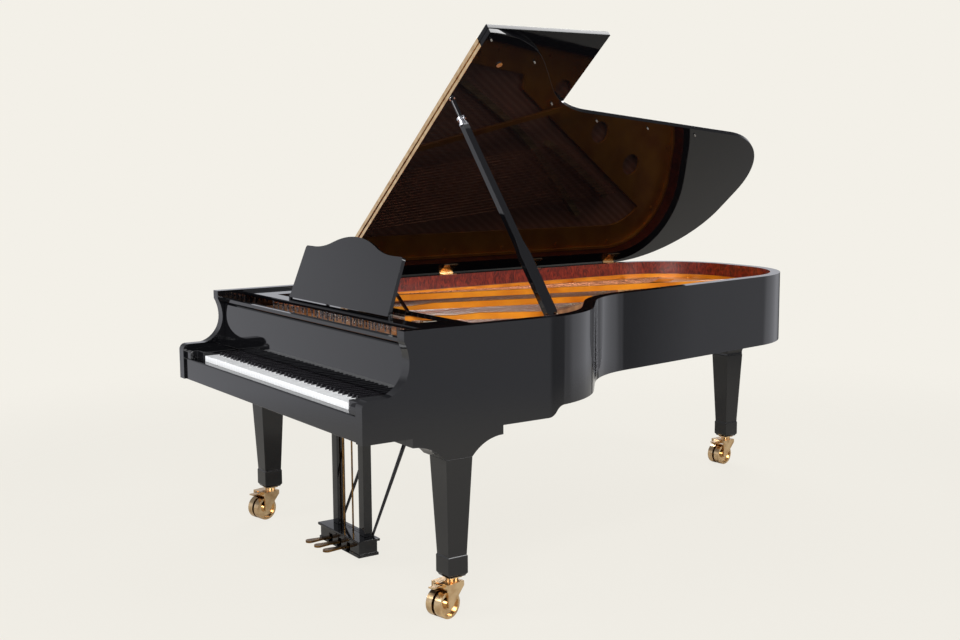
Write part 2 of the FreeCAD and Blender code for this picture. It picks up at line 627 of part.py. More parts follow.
strut_start = s.web_back - s.strut_foot - s.capo_depth
flange_middle = plate_edge + s.flange_width / 2
strut_ends = [
    (gap_point(BASS_NOTES, strut_start), polar(tail_centre, tail_radius - flange_middle, s.side_angle)),
    (gap_point(FIRST_BREAK, strut_start), waist_centre - long_normal * (waist_radius + flange_middle)),
    (gap_point(SECOND_BREAK, strut_start), polar(bend_centre, bend_radius - flange_middle, s.bend_angle))]
casting = plate.multiFuse([lip, ring] + capos + [strut(*ends) for ends in strut_ends]).removeSplitter()
bolt_line = Part.Wire(Part.__sortEdges__(plan_edges(plate_edge + s.bolt_inset, s.belly_front)[:-1]))
bolts = [
    Part.makeCylinder(s.bolt_radius, s.bolt_height, point + Vector(0, 0, s.plate_top))
    for point in bolt_line.discretize(Number=BOLTS)[1:-1]]
pin_bores = [
    Part.makeCylinder(s.tuning_radius, s.rim_top, Vector(pin.BoundBox.Center.x, pin.BoundBox.Center.y, 0))
    for pin in tuning_pins]
casting = bored(casting, *pin_bores)
feature("iron_plate", [casting] + bolts)
plank = block((-inner_half, inner_half),
              (s.pin_plank_front, s.web_back - s.capo_depth), (s.pin_plank_bottom, s.plate_bottom))
feature("pin_plank", bored(plank, *pin_bores))

# Keys: naturals are notched beside the sharps, and sharps taper to their tops.
sharp_shares = {1: s.c_sharp_share, 3: s.d_sharp_share, 6: s.f_sharp_share, 8: s.g_sharp_share,
                10: s.a_sharp_share}
naturals = []
sharps = []
key_middles = []
key_bottom = s.key_top - s.key_height
count = 0
for note in range(NOTES):
    name = (note + FIRST_NAME) % NATURAL_NAMES
    if name in sharp_shares:
        x = count * key_pitch - key_end + sharp_shares[name] * key_pitch
        sharps.append((note, x))
        key_middles.append(x)
        continue
    left = count * key_pitch - key_end
    edges = []
    for boundary, neighbour in ((left, name - 1), (left + key_pitch, name + 1)):
        share = sharp_shares.get(neighbour % NATURAL_NAMES)
        inside = 1 if boundary == left else -1
        known = share is not None and 0 < note < NOTES - 1
        slot = boundary + inside * s.key_gap / 2
        if known:
            slot = boundary + share * key_pitch + inside * s.sharp_slot / 2
        edges.append((boundary + inside * s.key_gap / 2, slot))
    naturals.append((note, edges))
    key_middles.append((edges[0][1] + edges[1][1]) / 2)
    count += 1


def natural_key(edges):
    """A white key: a full-width head and a tail between the sharps."""
    (left, tail_left), (right, tail_right) = edges
    head = s.key_front + s.head_length
    corners = [(left, s.key_front), (right, s.key_front), (right, head), (tail_right, head),
               (tail_right, s.key_back),
               (tail_left, s.key_back), (tail_left, head), (left, head)]
    points = [at(x, depth, key_bottom) for x, depth in corners]
    kept = [p for p, q in zip(points, points[1:] + points[:1]) if (p - q).Length > s.pin_fit]
    return prism(kept, Vector(0, 0, s.key_height))


def sharp_key(x):
    """A black key: a low stick and a raised top with sloping sides and front."""
    half = s.sharp_width / 2
    stick = block((x - half, x + half), (s.sharp_front, s.key_back), (key_bottom, s.key_top))
    rings = []
    for inset, front, z in ((s.glue_gap, s.sharp_front + s.glue_gap, s.key_top - s.glue_gap),
                            (s.sharp_side, s.sharp_front + s.sharp_lead, s.sharp_top)):
        side_x = half - inset
        corners = [at(x - side_x, front, z), at(x + side_x, front, z),
                   at(x + side_x, s.sharp_back, z), at(x - side_x, s.sharp_back, z)]
        rings.append(Part.makePolygon(corners + corners[:1]))
    return stick.fuse(Part.makeLoft(rings, True, True))


feature("white_keys", [natural_key(edges) for note, edges in naturals])
feature("black_keys", [sharp_key(x) for note, x in sharps])

# Key frame and hammer rail, then the hammers.
rail_side = key_end + s.rail_side_gap
rail = (-rail_side, rail_side)
balance = (s.balance_depth - s.balance_rail_width / 2, s.balance_depth + s.balance_rail_width / 2)
key_rest = key_bottom - s.rail_gap
key_pivot = at(0, s.balance_depth, key_rest - s.balance_bead)
bead = rod(key_pivot - Vector(rail_side, 0, 0), key_pivot + Vector(rail_side, 0, 0), s.balance_bead)
pivot = at(0, s.hammer_pivot_depth, s.hammer_pivot_height)
rail_back = s.hammer_pivot_depth - s.hammer_hub - s.rail_clearance
hammer_rail = block(rail, (rail_back - s.hammer_rail_width, rail_back),
                    (s.hammer_pivot_height - s.hammer_rail_height / 2,
                     s.hammer_pivot_height + s.hammer_rail_height / 2))
base_top = s.keybed_top + s.seat_gap
back_rail = (s.key_back - s.back_rail_width, s.key_back)
frame_solids = [
    block(rail, (s.front_rail_depth, s.front_rail_depth + s.front_rail_width), (base_top, s.front_rail_top)),
    block(rail, balance, (base_top, key_pivot.z)).fuse(bead),
    block(rail, back_rail, (base_top, key_rest)),
    hammer_rail]
for sign in (-1, 1):
    outer = sign * rail_side
    x = tuple(sorted((outer, outer + sign * s.bracket_width)))
    frame_solids.append(block(x, (s.front_rail_depth, s.key_back), (base_top, s.front_rail_top)))
    frame_solids.append(block(x, (rail_back - s.hammer_rail_width, rail_back),
                              (s.front_rail_top, s.hammer_pivot_height + s.hammer_rail_height / 2)))
feature("action_frame", frame_solids)


def hammer(x):
    """A hammer: a round hub on its pivot, a shank and a head that narrows to its crown."""
    low = s.hammer_pivot_height - s.shank_height / 2
    high = s.hammer_pivot_height + s.shank_height / 2
    near = s.hammer_depth - s.hammer_half
    far = s.hammer_depth + s.hammer_half
    crown = s.hammer_pivot_height + s.hammer_crown
    end = s.hammer_pivot_depth
    points = [(end, low), (near, low), (s.hammer_depth, low - s.hammer_tail), (far, low), (far, high),
              (s.hammer_depth + s.crown_half, crown), (s.hammer_depth - s.crown_half, crown), (near, high),
              (end, high)]
    across = Vector(s.hammer_width, 0, 0)
    start = at(x - s.hammer_width / 2, end, s.hammer_pivot_height)
    piece = prism([at(start.x, depth, z) for depth, z in points], across)
    piece = piece.fuse(rod(start, start + across, s.hammer_hub))
    piece.rotate(pivot, Vector(1, 0, 0), -s.hammer_throw)
    return piece


feature("white_hammers", [hammer(key_middles[note]) for note, edges in naturals])
feature("black_hammers", [hammer(key_middles[note]) for note, x in sharps])
dampers = []
for note in range(DAMPED_NOTES):
    start, end = string_line(note)
    depth = s.damper_front + s.damper_length / 2 - s.setback
    middle = start + (end - start) * ((depth - start.y) / (end.y - start.y))
    half = s.damper_width / 2
    low = middle.z + wire_radius(note) + s.string_gap
    dampers.append(block((middle.x - half, middle.x + half),
                         (s.damper_front, s.damper_front + s.damper_length),
                         (low, low + s.damper_height)))
feature("dampers", dampers)

# Fallboard on its two pins.
fall = doc.addObject("PartDesign::Body", "fallboard_panel")
pad(fall, outline_sketch(fall, "YZ_Plane", [
    ("fall_front - setback", "fall_bottom"), ("fall_front + fall_thickness - setback", "fall_bottom"),
    ("fall_front + fall_thickness - setback", "fall_top - fall_round"),
    ("fall_front + fall_thickness - fall_round - setback", "fall_top"),
    ("fall_front + fall_round - setback", "fall_top"), ("fall_front - setback", "fall_top - fall_round")]),
    "case_width - 2 * rim_thickness - 2 * fall_side_gap", True)
fall_pins = []
inner_face_right = "case_width / 2 - rim_thickness"
for name, pin_start in (("fall_pin_left", f"seat_gap - fall_pin_reach - ({inner_face_right})"),
                        ("fall_pin_right", f"{inner_face_right} - fall_side_gap")):
    fall_pin = doc.addObject("Part::Cylinder", name)
    fall_pin.setExpression("Radius", cells("fall_pin_radius"))
    fall_pin.setExpression("Height", cells("fall_pin_reach + fall_side_gap - seat_gap"))
    fall_pin.Placement = Placement(Vector(0, 0, 0), Rotation(Vector(0, 1, 0), 90))
    fall_pin.setExpression("Placement.Base.x", cells(pin_start))
    fall_pin.setExpression("Placement.Base.y", cells("fall_pivot_depth - setback"))
    fall_pin.setExpression("Placement.Base.z", cells("fall_pivot_height"))
    fall_pins.append(fall_pin)
group("fallboard", [fall] + fall_pins)

# Music desk: two rails, a sliding tray, the panel and its two struts.
group("desk_rails", [
    bound_box("desk_rail_left", (f"-({inner_face_right})", "desk_rail_front", "desk_rail_bottom"),
              (f"-({inner_face_right}) + desk_rail_width", "desk_rail_back", "desk_rail_top")),
    bound_box("desk_rail_right",
              (f"{inner_face_right} - desk_rail_width", "desk_rail_front", "desk_rail_bottom"),
              (inner_face_right, "desk_rail_back", "desk_rail_top")),
    bound_box("fall_rail", (f"-({inner_face_right})", "fall_rail_front", "fall_rail_bottom"),
              (inner_face_right, "fall_rail_back", "fall_rail_top"))])

tray_half = inner_half - s.tray_side_gap
tray = block((-tray_half, tray_half), (s.tray_front, s.tray_back), (s.tray_bottom, s.tray_top))
slots = []
for left, right in ((-s.slot_half, -s.slot_rib / 2), (s.slot_rib / 2, s.slot_half)):
    slots.append(block((left, right), (s.rear_slot_front, s.rear_slot_back), (0, s.rim_top)))
hinge_height = s.tray_top + s.desk_hinge_rise
desk_hinge = at(0, s.desk_hinge_depth, hinge_height)
tray_lugs = []
desk_pins = []
for sign in (-1, 1):
    face = desk_hinge + Vector(sign * (s.desk_half + s.seat_gap), 0, 0)
    outer = face + Vector(sign * s.desk_lug_width, 0, 0)
    foot = block(sorted((face.x, outer.x)),
                 (s.desk_hinge_depth - s.desk_lug_radius, s.desk_hinge_depth + s.desk_lug_radius),
                 (s.tray_top - s.glue_gap, hinge_height))
    tray_lugs.append(rod(face, outer, s.desk_lug_radius).fuse(foot))
    desk_pins.append(rod(face - Vector(sign * s.desk_pin_reach, 0, 0), outer, s.desk_pin_radius))
tray = bored(tray, *slots).multiFuse(tray_lugs).removeSplitter()
feature("desk_tray", [bored(tray, *desk_pins)] + desk_pins)

desk_turn = Placement(desk_hinge, Rotation(Vector(1, 0, 0), -s.desk_lean))
rise = s.desk_peak - s.desk_shoulder
swell_turn = 2 * math.atan(rise / s.desk_shoulder_half)
swell = s.desk_shoulder_half / math.sin(swell_turn)
hollow = swell * s.hollow_share
crest = swell - hollow


def desk_point(x, height):
    """A point on the front of the desk panel before it leans back."""
    return Vector(x, 0, height)


def desk_arc(sign, centre_x, centre_z, radius, *turns):
    """A round stretch of the desk's top edge."""
    return Part.Arc(*[
        desk_point(sign * (centre_x + radius * math.sin(t)),
                   centre_z + radius * math.cos(t)) for t in turns]).toShape()


desk_top_half = s.desk_half - s.desk_taper
side_lean = math.atan(s.desk_taper / s.desk_shoulder)
round_run = s.desk_round * math.tan(math.pi / 4 - side_lean / 2)
desk_edges = []
for sign in (-1, 1):
    desk_edges.append(desk_arc(sign, s.desk_shoulder_half, s.desk_shoulder + hollow, hollow,
                               math.pi, math.pi + swell_turn / 2, math.pi + swell_turn))
    corner = desk_arc(sign, desk_top_half - round_run, s.desk_shoulder - s.desk_round, s.desk_round,
                      0, (math.pi / 2 - side_lean) / 2, math.pi / 2 - side_lean)
    desk_edges.append(corner)
    ends = sorted((vertex.Point for vertex in corner.Vertexes), key=lambda point: point.z)
    desk_edges.append(Part.LineSegment(desk_point(sign * s.desk_shoulder_half, s.desk_shoulder),
                                       ends[1]).toShape())
    desk_edges.append(Part.LineSegment(ends[0], desk_point(sign * s.desk_half, -s.desk_foot)).toShape())
desk_edges.append(Part.LineSegment(desk_point(-s.desk_half, -s.desk_foot),
                                   desk_point(s.desk_half, -s.desk_foot)).toShape())
desk_edges.append(desk_arc(1, 0, s.desk_peak - crest, crest, -swell_turn, 0, swell_turn))
panel = Part.Face(Part.Wire(Part.__sortEdges__(desk_edges))).extrude(Vector(0, s.desk_thickness, 0))
panel.translate(Vector(0, -s.desk_thickness / 2, 0))
strut_axis_y = s.desk_thickness / 2 + s.strut_offset
pin_hole = s.desk_pin_reach + s.seat_gap
panel_cuts = [
    rod(Vector(sign * (s.desk_half - pin_hole), 0, 0), Vector(sign * (s.desk_half + s.overrun), 0, 0),
        s.desk_pin_radius + s.pin_fit) for sign in (-1, 1)]
panel = bored(panel, *panel_cuts)
strut_ears = []
strut_pins = []
for sign in (-1, 1):
    middle = sign * s.desk_strut_half
    for shift in (-s.desk_strut_width, s.desk_strut_width):
        low = middle + shift - s.desk_strut_width / 2 + s.knuckle_gap
        ear = Part.makeBox(s.desk_strut_width - 2 * s.knuckle_gap,
                           s.strut_offset + s.desk_strut_thickness / 2,
                           s.desk_strut_thickness, Vector(low, s.desk_thickness / 2 - s.glue_gap,
                                                          s.strut_pivot_rise - s.desk_strut_thickness / 2))
        strut_ears.append(ear)
    reach = Vector(s.desk_strut_width * 3 / 2 - s.knuckle_gap, 0, 0)
    hub = Vector(middle, strut_axis_y, s.strut_pivot_rise)
    strut_pins.append(rod(hub - reach, hub + reach, s.desk_pin_radius))
panel = bored(panel.multiFuse(strut_ears), *strut_pins)
feature("desk_panel", [panel] + strut_pins, desk_turn)

strut_world = desk_turn.multVec(Vector(0, strut_axis_y, s.strut_pivot_rise))
strut_drop = strut_world.z - s.tray_top - s.seat_gap
fall_turn = math.radians(s.desk_strut_fall)
half_strut = s.desk_strut_thickness / 2
strut_length = (strut_drop - half_strut * math.cos(fall_turn)) / math.sin(fall_turn)
desk_struts = []
for sign in (-1, 1):
    bar = Part.makeBox(s.desk_strut_width - 2 * s.knuckle_gap, strut_length, s.desk_strut_thickness,
                       Vector(sign * s.desk_strut_half - s.desk_strut_width / 2 + s.knuckle_gap, 0,
                              -half_strut))
    hub = Part.makeCylinder(half_strut, s.desk_strut_width - 2 * s.knuckle_gap,
                            Vector(sign * s.desk_strut_half - s.desk_strut_width / 2 + s.knuckle_gap, 0, 0),
                            Vector(1, 0, 0))
    hole = Part.makeCylinder(s.desk_pin_radius + s.pin_fit, s.case_width, Vector(-half_width, 0, 0),
                             Vector(1, 0, 0))
    desk_struts.append(bored(bar.fuse(hub), hole))
feature("desk_struts", desk_struts, Placement(strut_world, Rotation(Vector(1, 0, 0), -s.desk_strut_fall)))

# Lid, built shut and then turned up about its hinge line.
lid_bottom = s.rim_top + s.lid_gap
lid_top = lid_bottom + s.lid_thickness
lid_axis = at(s.lid_axis_inset - half_width, 0, s.rim_top + s.lid_axis_rise)
lid_turn = Placement(Vector(0, 0, 0), Rotation(Vector(0, 1, 0), -s.lid_angle), lid_axis)
feature("lid_main", slab(plan(-s.lid_overhang, s.lid_line), lid_bottom, lid_top), lid_turn)

long_axis = at(0, s.lid_line - s.long_hinge_offset, lid_top + s.long_hinge_rise)
fold = Placement(Vector(0, 0, 0), Rotation(Vector(1, 0, 0), 180), long_axis)
flap = doc.addObject("PartDesign::Body", "lid_front")
pad(flap, outline_sketch(flap, "XY_Plane", rectangle(
    "-case_width / 2 - lid_overhang", "case_width / 2 + lid_overhang",
    "flap_front - setback", "lid_line - 2 * long_hinge_offset - setback"), "rim_top + lid_gap"),
    "lid_thickness")
flap.Placement = lid_turn.multiply(fold)
keep("lid_front", flap)

hinge_left = s.long_hinge_left - half_width
hinge_right = half_width - s.long_hinge_right
knuckle_pitch = (hinge_right - hinge_left) / LONG_KNUCKLES


def long_knuckle(k, radius, gap):
    """One knuckle of the long hinge."""
    low = Vector(hinge_left + k * knuckle_pitch + gap, long_axis.y, long_axis.z)
    high = Vector(hinge_left + (k + 1) * knuckle_pitch - gap, long_axis.y, long_axis.z)
    return rod(low, high, radius)


def long_leaf(parity, near, far):
    """A leaf of the long hinge: a strip and every other knuckle."""
    strip = block((hinge_left, hinge_right), (near, far), (lid_bottom + s.long_hinge_rise, lid_top))
    own = [long_knuckle(k, s.long_knuckle_radius, s.knuckle_gap / 2) for k in range(parity, LONG_KNUCKLES, 2)]
    others = [long_knuckle(k, s.long_knuckle_radius + s.knuckle_gap, 0) for k in range(1 - parity,
                                                                                       LONG_KNUCKLES, 2)]
    return bored(strip, *others).multiFuse(own)


long_pin = rod(Vector(hinge_left, long_axis.y, long_axis.z),
               Vector(hinge_right, long_axis.y, long_axis.z), s.long_pin_radius)
long_bore = rod(Vector(hinge_left - s.overrun, long_axis.y, long_axis.z),
                Vector(hinge_right + s.overrun, long_axis.y, long_axis.z), s.long_pin_radius + s.pin_fit)
main_leaf = bored(long_leaf(0, s.lid_line - s.long_leaf_thickness, s.lid_line), long_pin)
feature("long_hinge_main_leaf", [main_leaf, long_pin], lid_turn)
flap_edge = s.lid_line - 2 * s.long_hinge_offset
front_leaf = bored(long_leaf(1, flap_edge, flap_edge + s.long_leaf_thickness), long_bore)
feature("long_hinge_front_leaf", front_leaf, lid_turn.multiply(fold))

rim_leaves = []
lid_leaves = []
for k in range(LID_HINGES):
    spine_run = spine_centre.y + s.setback - s.lid_line
    hinge_share = s.hinge_first_share + k * s.hinge_step_share
    first_end = s.lid_line + spine_run * hinge_share - s.knuckle_length * 3 / 2
    ends = [first_end + j * s.knuckle_length for j in range(4)]
    axis = [Vector(lid_axis.x, end - s.setback, lid_axis.z) for end in ends]
    gap = Vector(0, s.knuckle_gap / 2, 0)
    pin = rod(axis[0], axis[3], s.hinge_pin_radius)
    outer = [rod(axis[0], axis[1] - gap, s.knuckle_radius), rod(axis[2] + gap, axis[3], s.knuckle_radius)]
    middle = rod(axis[1] + gap, axis[2] - gap, s.knuckle_radius)
    room = s.knuckle_radius + s.knuckle_gap
    leaf = block((lid_axis.x, lid_axis.x + s.rim_leaf_length), (ends[0], ends[3]),
                 (s.rim_top, s.rim_top + s.rim_leaf_thickness))
    leaf = bored(leaf, rod(axis[1], axis[2], room)).multiFuse(outer)
    rim_leaves += [bored(leaf, pin), pin]
    leaf = block((lid_axis.x, lid_axis.x + s.lid_leaf_length), (ends[0], ends[3]),
                 (lid_bottom - s.lid_leaf_thickness, lid_bottom))
    leaf = bored(leaf, rod(axis[0] - gap * 2, axis[1], room),
                 rod(axis[2], axis[3] + gap * 2, room)).fuse(middle)
    lid_leaves.append(bored(leaf, rod(axis[0], axis[3], s.hinge_pin_radius + s.pin_fit)))
feature("lid_hinge_rim_leaves", rim_leaves)
feature("lid_hinge_lid_leaves", lid_leaves, lid_turn)

bumper_line = Part.Wire(Part.__sortEdges__(plan_edges(s.bumper_inset, s.lid_line + s.bumper_inset)[:-2]))
bumpers = [
    Part.makeCylinder(s.bumper_radius, s.lid_gap - s.bumper_gap,
                      point + Vector(0, 0, s.rim_top + s.bumper_gap))
    for point in bumper_line.discretize(Number=BUMPER_STEPS)[:BUMPERS]]
feature("lid_bumpers", bumpers, lid_turn)
cup_low = lid_bottom - s.cup_thickness
long_cup = at(s.prop_cup_span, s.prop_cup_depth, cup_low)
short_cup = at(s.short_cup_span, s.short_cup_depth, cup_low)
cups = [Part.makeCylinder(s.cup_radius, s.cup_thickness, place) for place in (long_cup, short_cup)]
feature("prop_cups", cups, lid_turn)

# Prop: a bracket on the plate, a stick, its collar and a thin rod up to the cup.
prop_foot = at(inner_half - s.prop_foot_inset, s.prop_foot_depth, s.prop_foot_height)
prop_tip = lid_turn.multVec(long_cup)
prop_span = prop_tip - prop_foot
prop_length = prop_span.Length - s.prop_tip_gap
prop_up = Vector(prop_span).normalize()
stow = polar(Vector(0, 0, 0), 1, s.prop_stow_heading)
prop_axis = prop_up.cross(stow).normalize()
prop_face = (Vector(1, 0, 0) - prop_up * prop_up.x).normalize()
prop_turn = Rotation(prop_face, prop_up.cross(prop_face), prop_up, "ZXY")
prop_place = Placement(prop_foot, prop_turn)
local_axis = prop_turn.inverted().multVec(prop_axis)


def stick_section(height, width):
    """A cross-section of the stick at a height along it."""
    a = s.prop_thickness / 2
    b = width / 2
    points = [Vector(-a, -b, height), Vector(a, -b, height), Vector(a, b, height), Vector(-a, b, height)]
    return Part.makePolygon(points + points[:1])


wide_end = s.prop_foot_length + s.prop_wide_length
bar_end = prop_length - s.prop_rod_reach
stations = [(0, s.prop_eye_length), (s.prop_foot_length, s.prop_width), (wide_end, s.prop_width),
            (wide_end + s.prop_taper_length, s.prop_neck_width), (bar_end, s.prop_top_width)]
bar = Part.makeLoft([stick_section(*station) for station in stations], True, True)
eye = Part.makeCylinder(s.prop_eye_radius, s.prop_eye_length, local_axis * (-s.prop_eye_length / 2),
                        local_axis)
lug_room = [
    Part.makeCylinder(s.prop_lug_room, s.prop_foot_length,
                      local_axis * (sign * s.prop_eye_length / 2), local_axis * sign) for sign in (-1, 1)]
prop_bore = Part.makeCylinder(s.prop_pin_radius + s.pin_fit, 2 * s.prop_foot_length,
                              local_axis * -s.prop_foot_length, local_axis)
rod_room = Part.makeCylinder(s.prop_rod_radius, prop_length,
                             Vector(0, 0, bar_end - s.prop_collar_length))
stick = bored(bored(bar, *lug_room).fuse(eye), prop_bore, rod_room)
feature("prop_stick", stick, prop_place)
rod_start = bar_end - s.prop_collar_length
tip = Part.makeSphere(s.prop_rod_radius, Vector(0, 0, prop_length - s.prop_rod_radius))
thin = Part.makeCylinder(s.prop_rod_radius, prop_length - s.prop_rod_radius - rod_start,
                         Vector(0, 0, rod_start))
feature("prop_rod", thin.fuse(tip), prop_place)
collar = Part.makeCylinder(s.prop_collar_radius, s.prop_collar_length, Vector(0, 0, bar_end)).multiFuse([
    Part.makeCylinder(s.prop_ring_radius, s.prop_ring_length, Vector(0, 0, ring_start))
    for ring_start in (bar_end, bar_end + s.prop_collar_length - s.prop_ring_length)])
feature("prop_collar", bored(collar, thin), prop_place)

prop_pin_half = s.prop_eye_length / 2 + s.prop_lug_thickness + s.knuckle_gap
prop_pin = rod(prop_foot - prop_axis * prop_pin_half, prop_foot + prop_axis * prop_pin_half,
               s.prop_pin_radius)
bracket = block((prop_foot.x - s.prop_base_side / 2, prop_foot.x + s.prop_base_side / 2),
                (s.prop_foot_depth - s.prop_base_side / 2, s.prop_foot_depth + s.prop_base_side / 2),
                (s.plate_top, s.plate_top + s.prop_base_thickness))
lug_parts = []
for sign in (-1, 1):
    near = prop_foot + prop_axis * (sign * (s.prop_eye_length / 2 + s.knuckle_gap))
    lug_parts.append(Part.makeCylinder(s.prop_eye_radius, s.prop_lug_thickness, near, prop_axis * sign))
    post = near + prop_axis * (sign * (s.prop_lug_thickness + s.prop_post_radius / 2))
    foot = Vector(post.x, post.y, s.plate_top)
    lug_parts.append(rod(foot, post, s.prop_post_radius))
    lug_parts.append(Part.makeSphere(s.prop_post_radius, post))
bracket = bored(bracket.multiFuse(lug_parts), prop_pin)
feature("prop_bracket", [bracket, prop_pin])

# Legs, with a block over each, and their casters.
leg_places = {
    "left": ("leg_inset - case_width / 2", "leg_depth", s.leg_inset - half_width, s.leg_depth),
    "right": ("case_width / 2 - leg_inset", "leg_depth", half_width - s.leg_inset, s.leg_depth),
    "tail": ("case_width * (tail_share + tail_flat_share / 2) - case_width / 2",
             "case_length - tail_leg_setback",
             tail_middle, s.case_length - s.tail_leg_setback)}


def square(side_name):
    """The corners of a centred square."""
    half = f"{side_name} / 2"
    return rectangle(f"-{half}", half, f"-{half}", half)


def leg(label, x, depth):
    """A tapered square leg with a collar above its caster."""
    body = doc.addObject("PartDesign::Body", label)
    runs = [
        [("leg_foot_side", "leg_bottom"), ("leg_top_side", "leg_top")],
        [("leg_foot_side", "leg_collar_bottom"),
         ("leg_collar_side", "leg_collar_bottom + leg_collar_chamfer"),
         ("leg_collar_side", "leg_collar_top - leg_collar_chamfer"), ("leg_foot_side", "leg_collar_top")]]
    for run in runs:
        sections = [outline_sketch(body, "XY_Plane", square(side_name), z) for side_name, z in run]
        taper = body.newObject("PartDesign::AdditiveLoft", "taper")
        taper.Profile = sections[0]
        taper.Sections = sections[1:]
        taper.Ruled = True
    body.setExpression("Placement.Base.x", cells(x))
    body.setExpression("Placement.Base.y", cells(f"{depth} - setback"))
    return keep(label, body)


def bracket_block(x, front, back, middle, bottom, top):
    """A leg block whose two hollow ends sweep down to the leg."""
    corners = [at(x[0], front, bottom), at(x[0], front, top), at(x[0], back, top), at(x[0], back, bottom)]
    edges = [Part.LineSegment(a, b).toShape() for a, b in zip(corners, corners[1:])]
    edges += bracket_edges(x[0], front, back, middle, bottom)
    return Part.Face(Part.Wire(Part.__sortEdges__(edges))).extrude(Vector(x[1] - x[0], 0, 0))


tail_x, tail_depth = leg_places["tail"][2:]
half_block = s.tail_block_side / 2
across_block = bracket_block((tail_x - half_block, tail_x + half_block), tail_depth - half_block,
                             tail_depth + half_block,
                             tail_depth, s.tail_block_bottom, s.rim_bottom)
along_block = across_block.copy()
along_block.rotate(at(tail_x, tail_depth, 0), Vector(0, 0, 1), 90)
round_case = slab(plan(0, 0), 0, s.rim_top)
feature("leg_blocks", [
    bracket_block((half_width - s.leg_block_width, inner_half), s.leg_block_front, s.leg_block_back,
                  s.leg_depth,
                  s.leg_block_bottom, s.side_bottom),
    bracket_block((-inner_half, s.leg_block_width - half_width), s.leg_block_front, s.leg_block_back,
                  s.leg_depth,
                  s.leg_block_bottom, s.side_bottom),
    across_block.common(along_block).common(round_case)])

wheel_outer = s.wheel_gap / 2 + s.wheel_width
cheek_inner = wheel_outer + s.fork_clearance
cheek_outer = cheek_inner + s.fork_cheek
axle_height = s.wheel_radius


def wheel(sign):
    """A wheel with a dished outer face, on the X axis at the axle."""
    near = s.wheel_gap / 2
    rim = s.wheel_radius - s.wheel_rim
    points = [(near, s.axle_radius), (wheel_outer, s.axle_radius), (wheel_outer, s.wheel_hub_radius),
              (wheel_outer - s.wheel_dish, s.wheel_hub_radius), (wheel_outer - s.wheel_dish, rim),
              (wheel_outer, rim),
              (wheel_outer, s.wheel_radius), (near, s.wheel_radius)]
    corners = [Vector(sign * x, -s.caster_trail, axle_height + r) for x, r in points]
    face = Part.Face(Part.makePolygon(corners + corners[:1]))
    return face.revolve(Vector(0, -s.caster_trail, axle_height), Vector(1, 0, 0), 360)


def caster(label, x, depth, turn):
    """A caster: a fork that swivels under the leg, two wheels on an axle and a brake lever."""
    place = Placement(at(x, depth, 0), Rotation(Vector(0, 0, 1), turn))
    centre = Vector(0, -s.caster_trail, axle_height)
    reach = Vector(cheek_outer, 0, 0)
    axle = rod(centre - reach, centre + reach, s.axle_radius)
    feature(f"caster_{label}_wheels", [wheel(1), wheel(-1), axle], place)
    eye = s.fork_eye_radius
    front = -s.caster_trail - eye
    back = s.fork_back
    cheek = [(front, axle_height), (-s.caster_trail + eye, axle_height), (back, s.fork_crown_bottom),
             (back, s.fork_crown_top), (front, s.fork_crown_top)]
    parts = []
    for low in (-cheek_outer, cheek_inner):
        parts.append(prism([Vector(low, y, z) for y, z in cheek], Vector(s.fork_cheek, 0, 0)))
        parts.append(Part.makeCylinder(eye, s.fork_cheek, Vector(low, -s.caster_trail, axle_height),
                                       Vector(1, 0, 0)))
    crown = Part.makeBox(2 * cheek_outer, back - front, s.fork_crown_top - s.fork_crown_bottom,
                         Vector(-cheek_outer, front, s.fork_crown_bottom))
    neck_top = s.leg_bottom - s.caster_plate_thickness - s.seat_gap
    neck = Part.makeCylinder(s.fork_neck_radius, neck_top - s.fork_crown_bottom,
                             Vector(0, 0, s.fork_crown_bottom))
    pin_y = front - s.brake_hub - s.brake_gap
    pin_z = (s.fork_crown_bottom + s.fork_crown_top) / 2
    ear_low = s.brake_width / 2 + s.brake_gap
    ear_high = ear_low + s.brake_ear
    for low in (-ear_high, ear_low):
        parts.append(Part.makeCylinder(s.brake_hub, s.brake_ear, Vector(low, pin_y, pin_z), Vector(1, 0, 0)))
        parts.append(Part.makeBox(s.brake_ear, front - pin_y + eye, 2 * s.brake_hub,
                                  Vector(low, pin_y, pin_z - s.brake_hub)))
    brake_pin = rod(Vector(-ear_high, pin_y, pin_z), Vector(ear_high, pin_y, pin_z), s.brake_pin)
    bore = rod(centre - reach * 2, centre + reach * 2, s.axle_radius + s.pin_fit)
    fork = bored(crown.multiFuse(parts + [neck]).removeSplitter(), bore, brake_pin)
    feature(f"caster_{label}_fork", [fork, brake_pin], place)
    half = s.brake_width / 2
    hub = rod(Vector(-half, pin_y, pin_z), Vector(half, pin_y, pin_z), s.brake_hub)
    lever = Part.makeBox(s.brake_width, s.brake_length, s.brake_thickness,
                         Vector(-half, pin_y - s.brake_length, pin_z - s.brake_thickness / 2))
    brake_bore = rod(Vector(-ear_high, pin_y, pin_z), Vector(ear_high, pin_y, pin_z), s.brake_pin + s.pin_fit)
    feature(f"caster_{label}_brake", bored(lever.fuse(hub), brake_bore), place)
    return Vector(0, pin_y, pin_z)


caster_turns = {"left": s.caster_turn_left, "right": s.caster_turn_right, "tail": s.caster_turn_tail}
plates = []
for label, (x_name, depth_name, x, depth) in leg_places.items():
    leg(f"leg_{label}", x_name, depth_name)
    half = s.caster_plate_side / 2
    plates.append(block((x - half, x + half), (depth - half, depth + half),
                        (s.leg_bottom - s.caster_plate_thickness, s.leg_bottom)))
    brake_axis = caster(label, x, depth, caster_turns[label])
feature("caster_plates", plates)

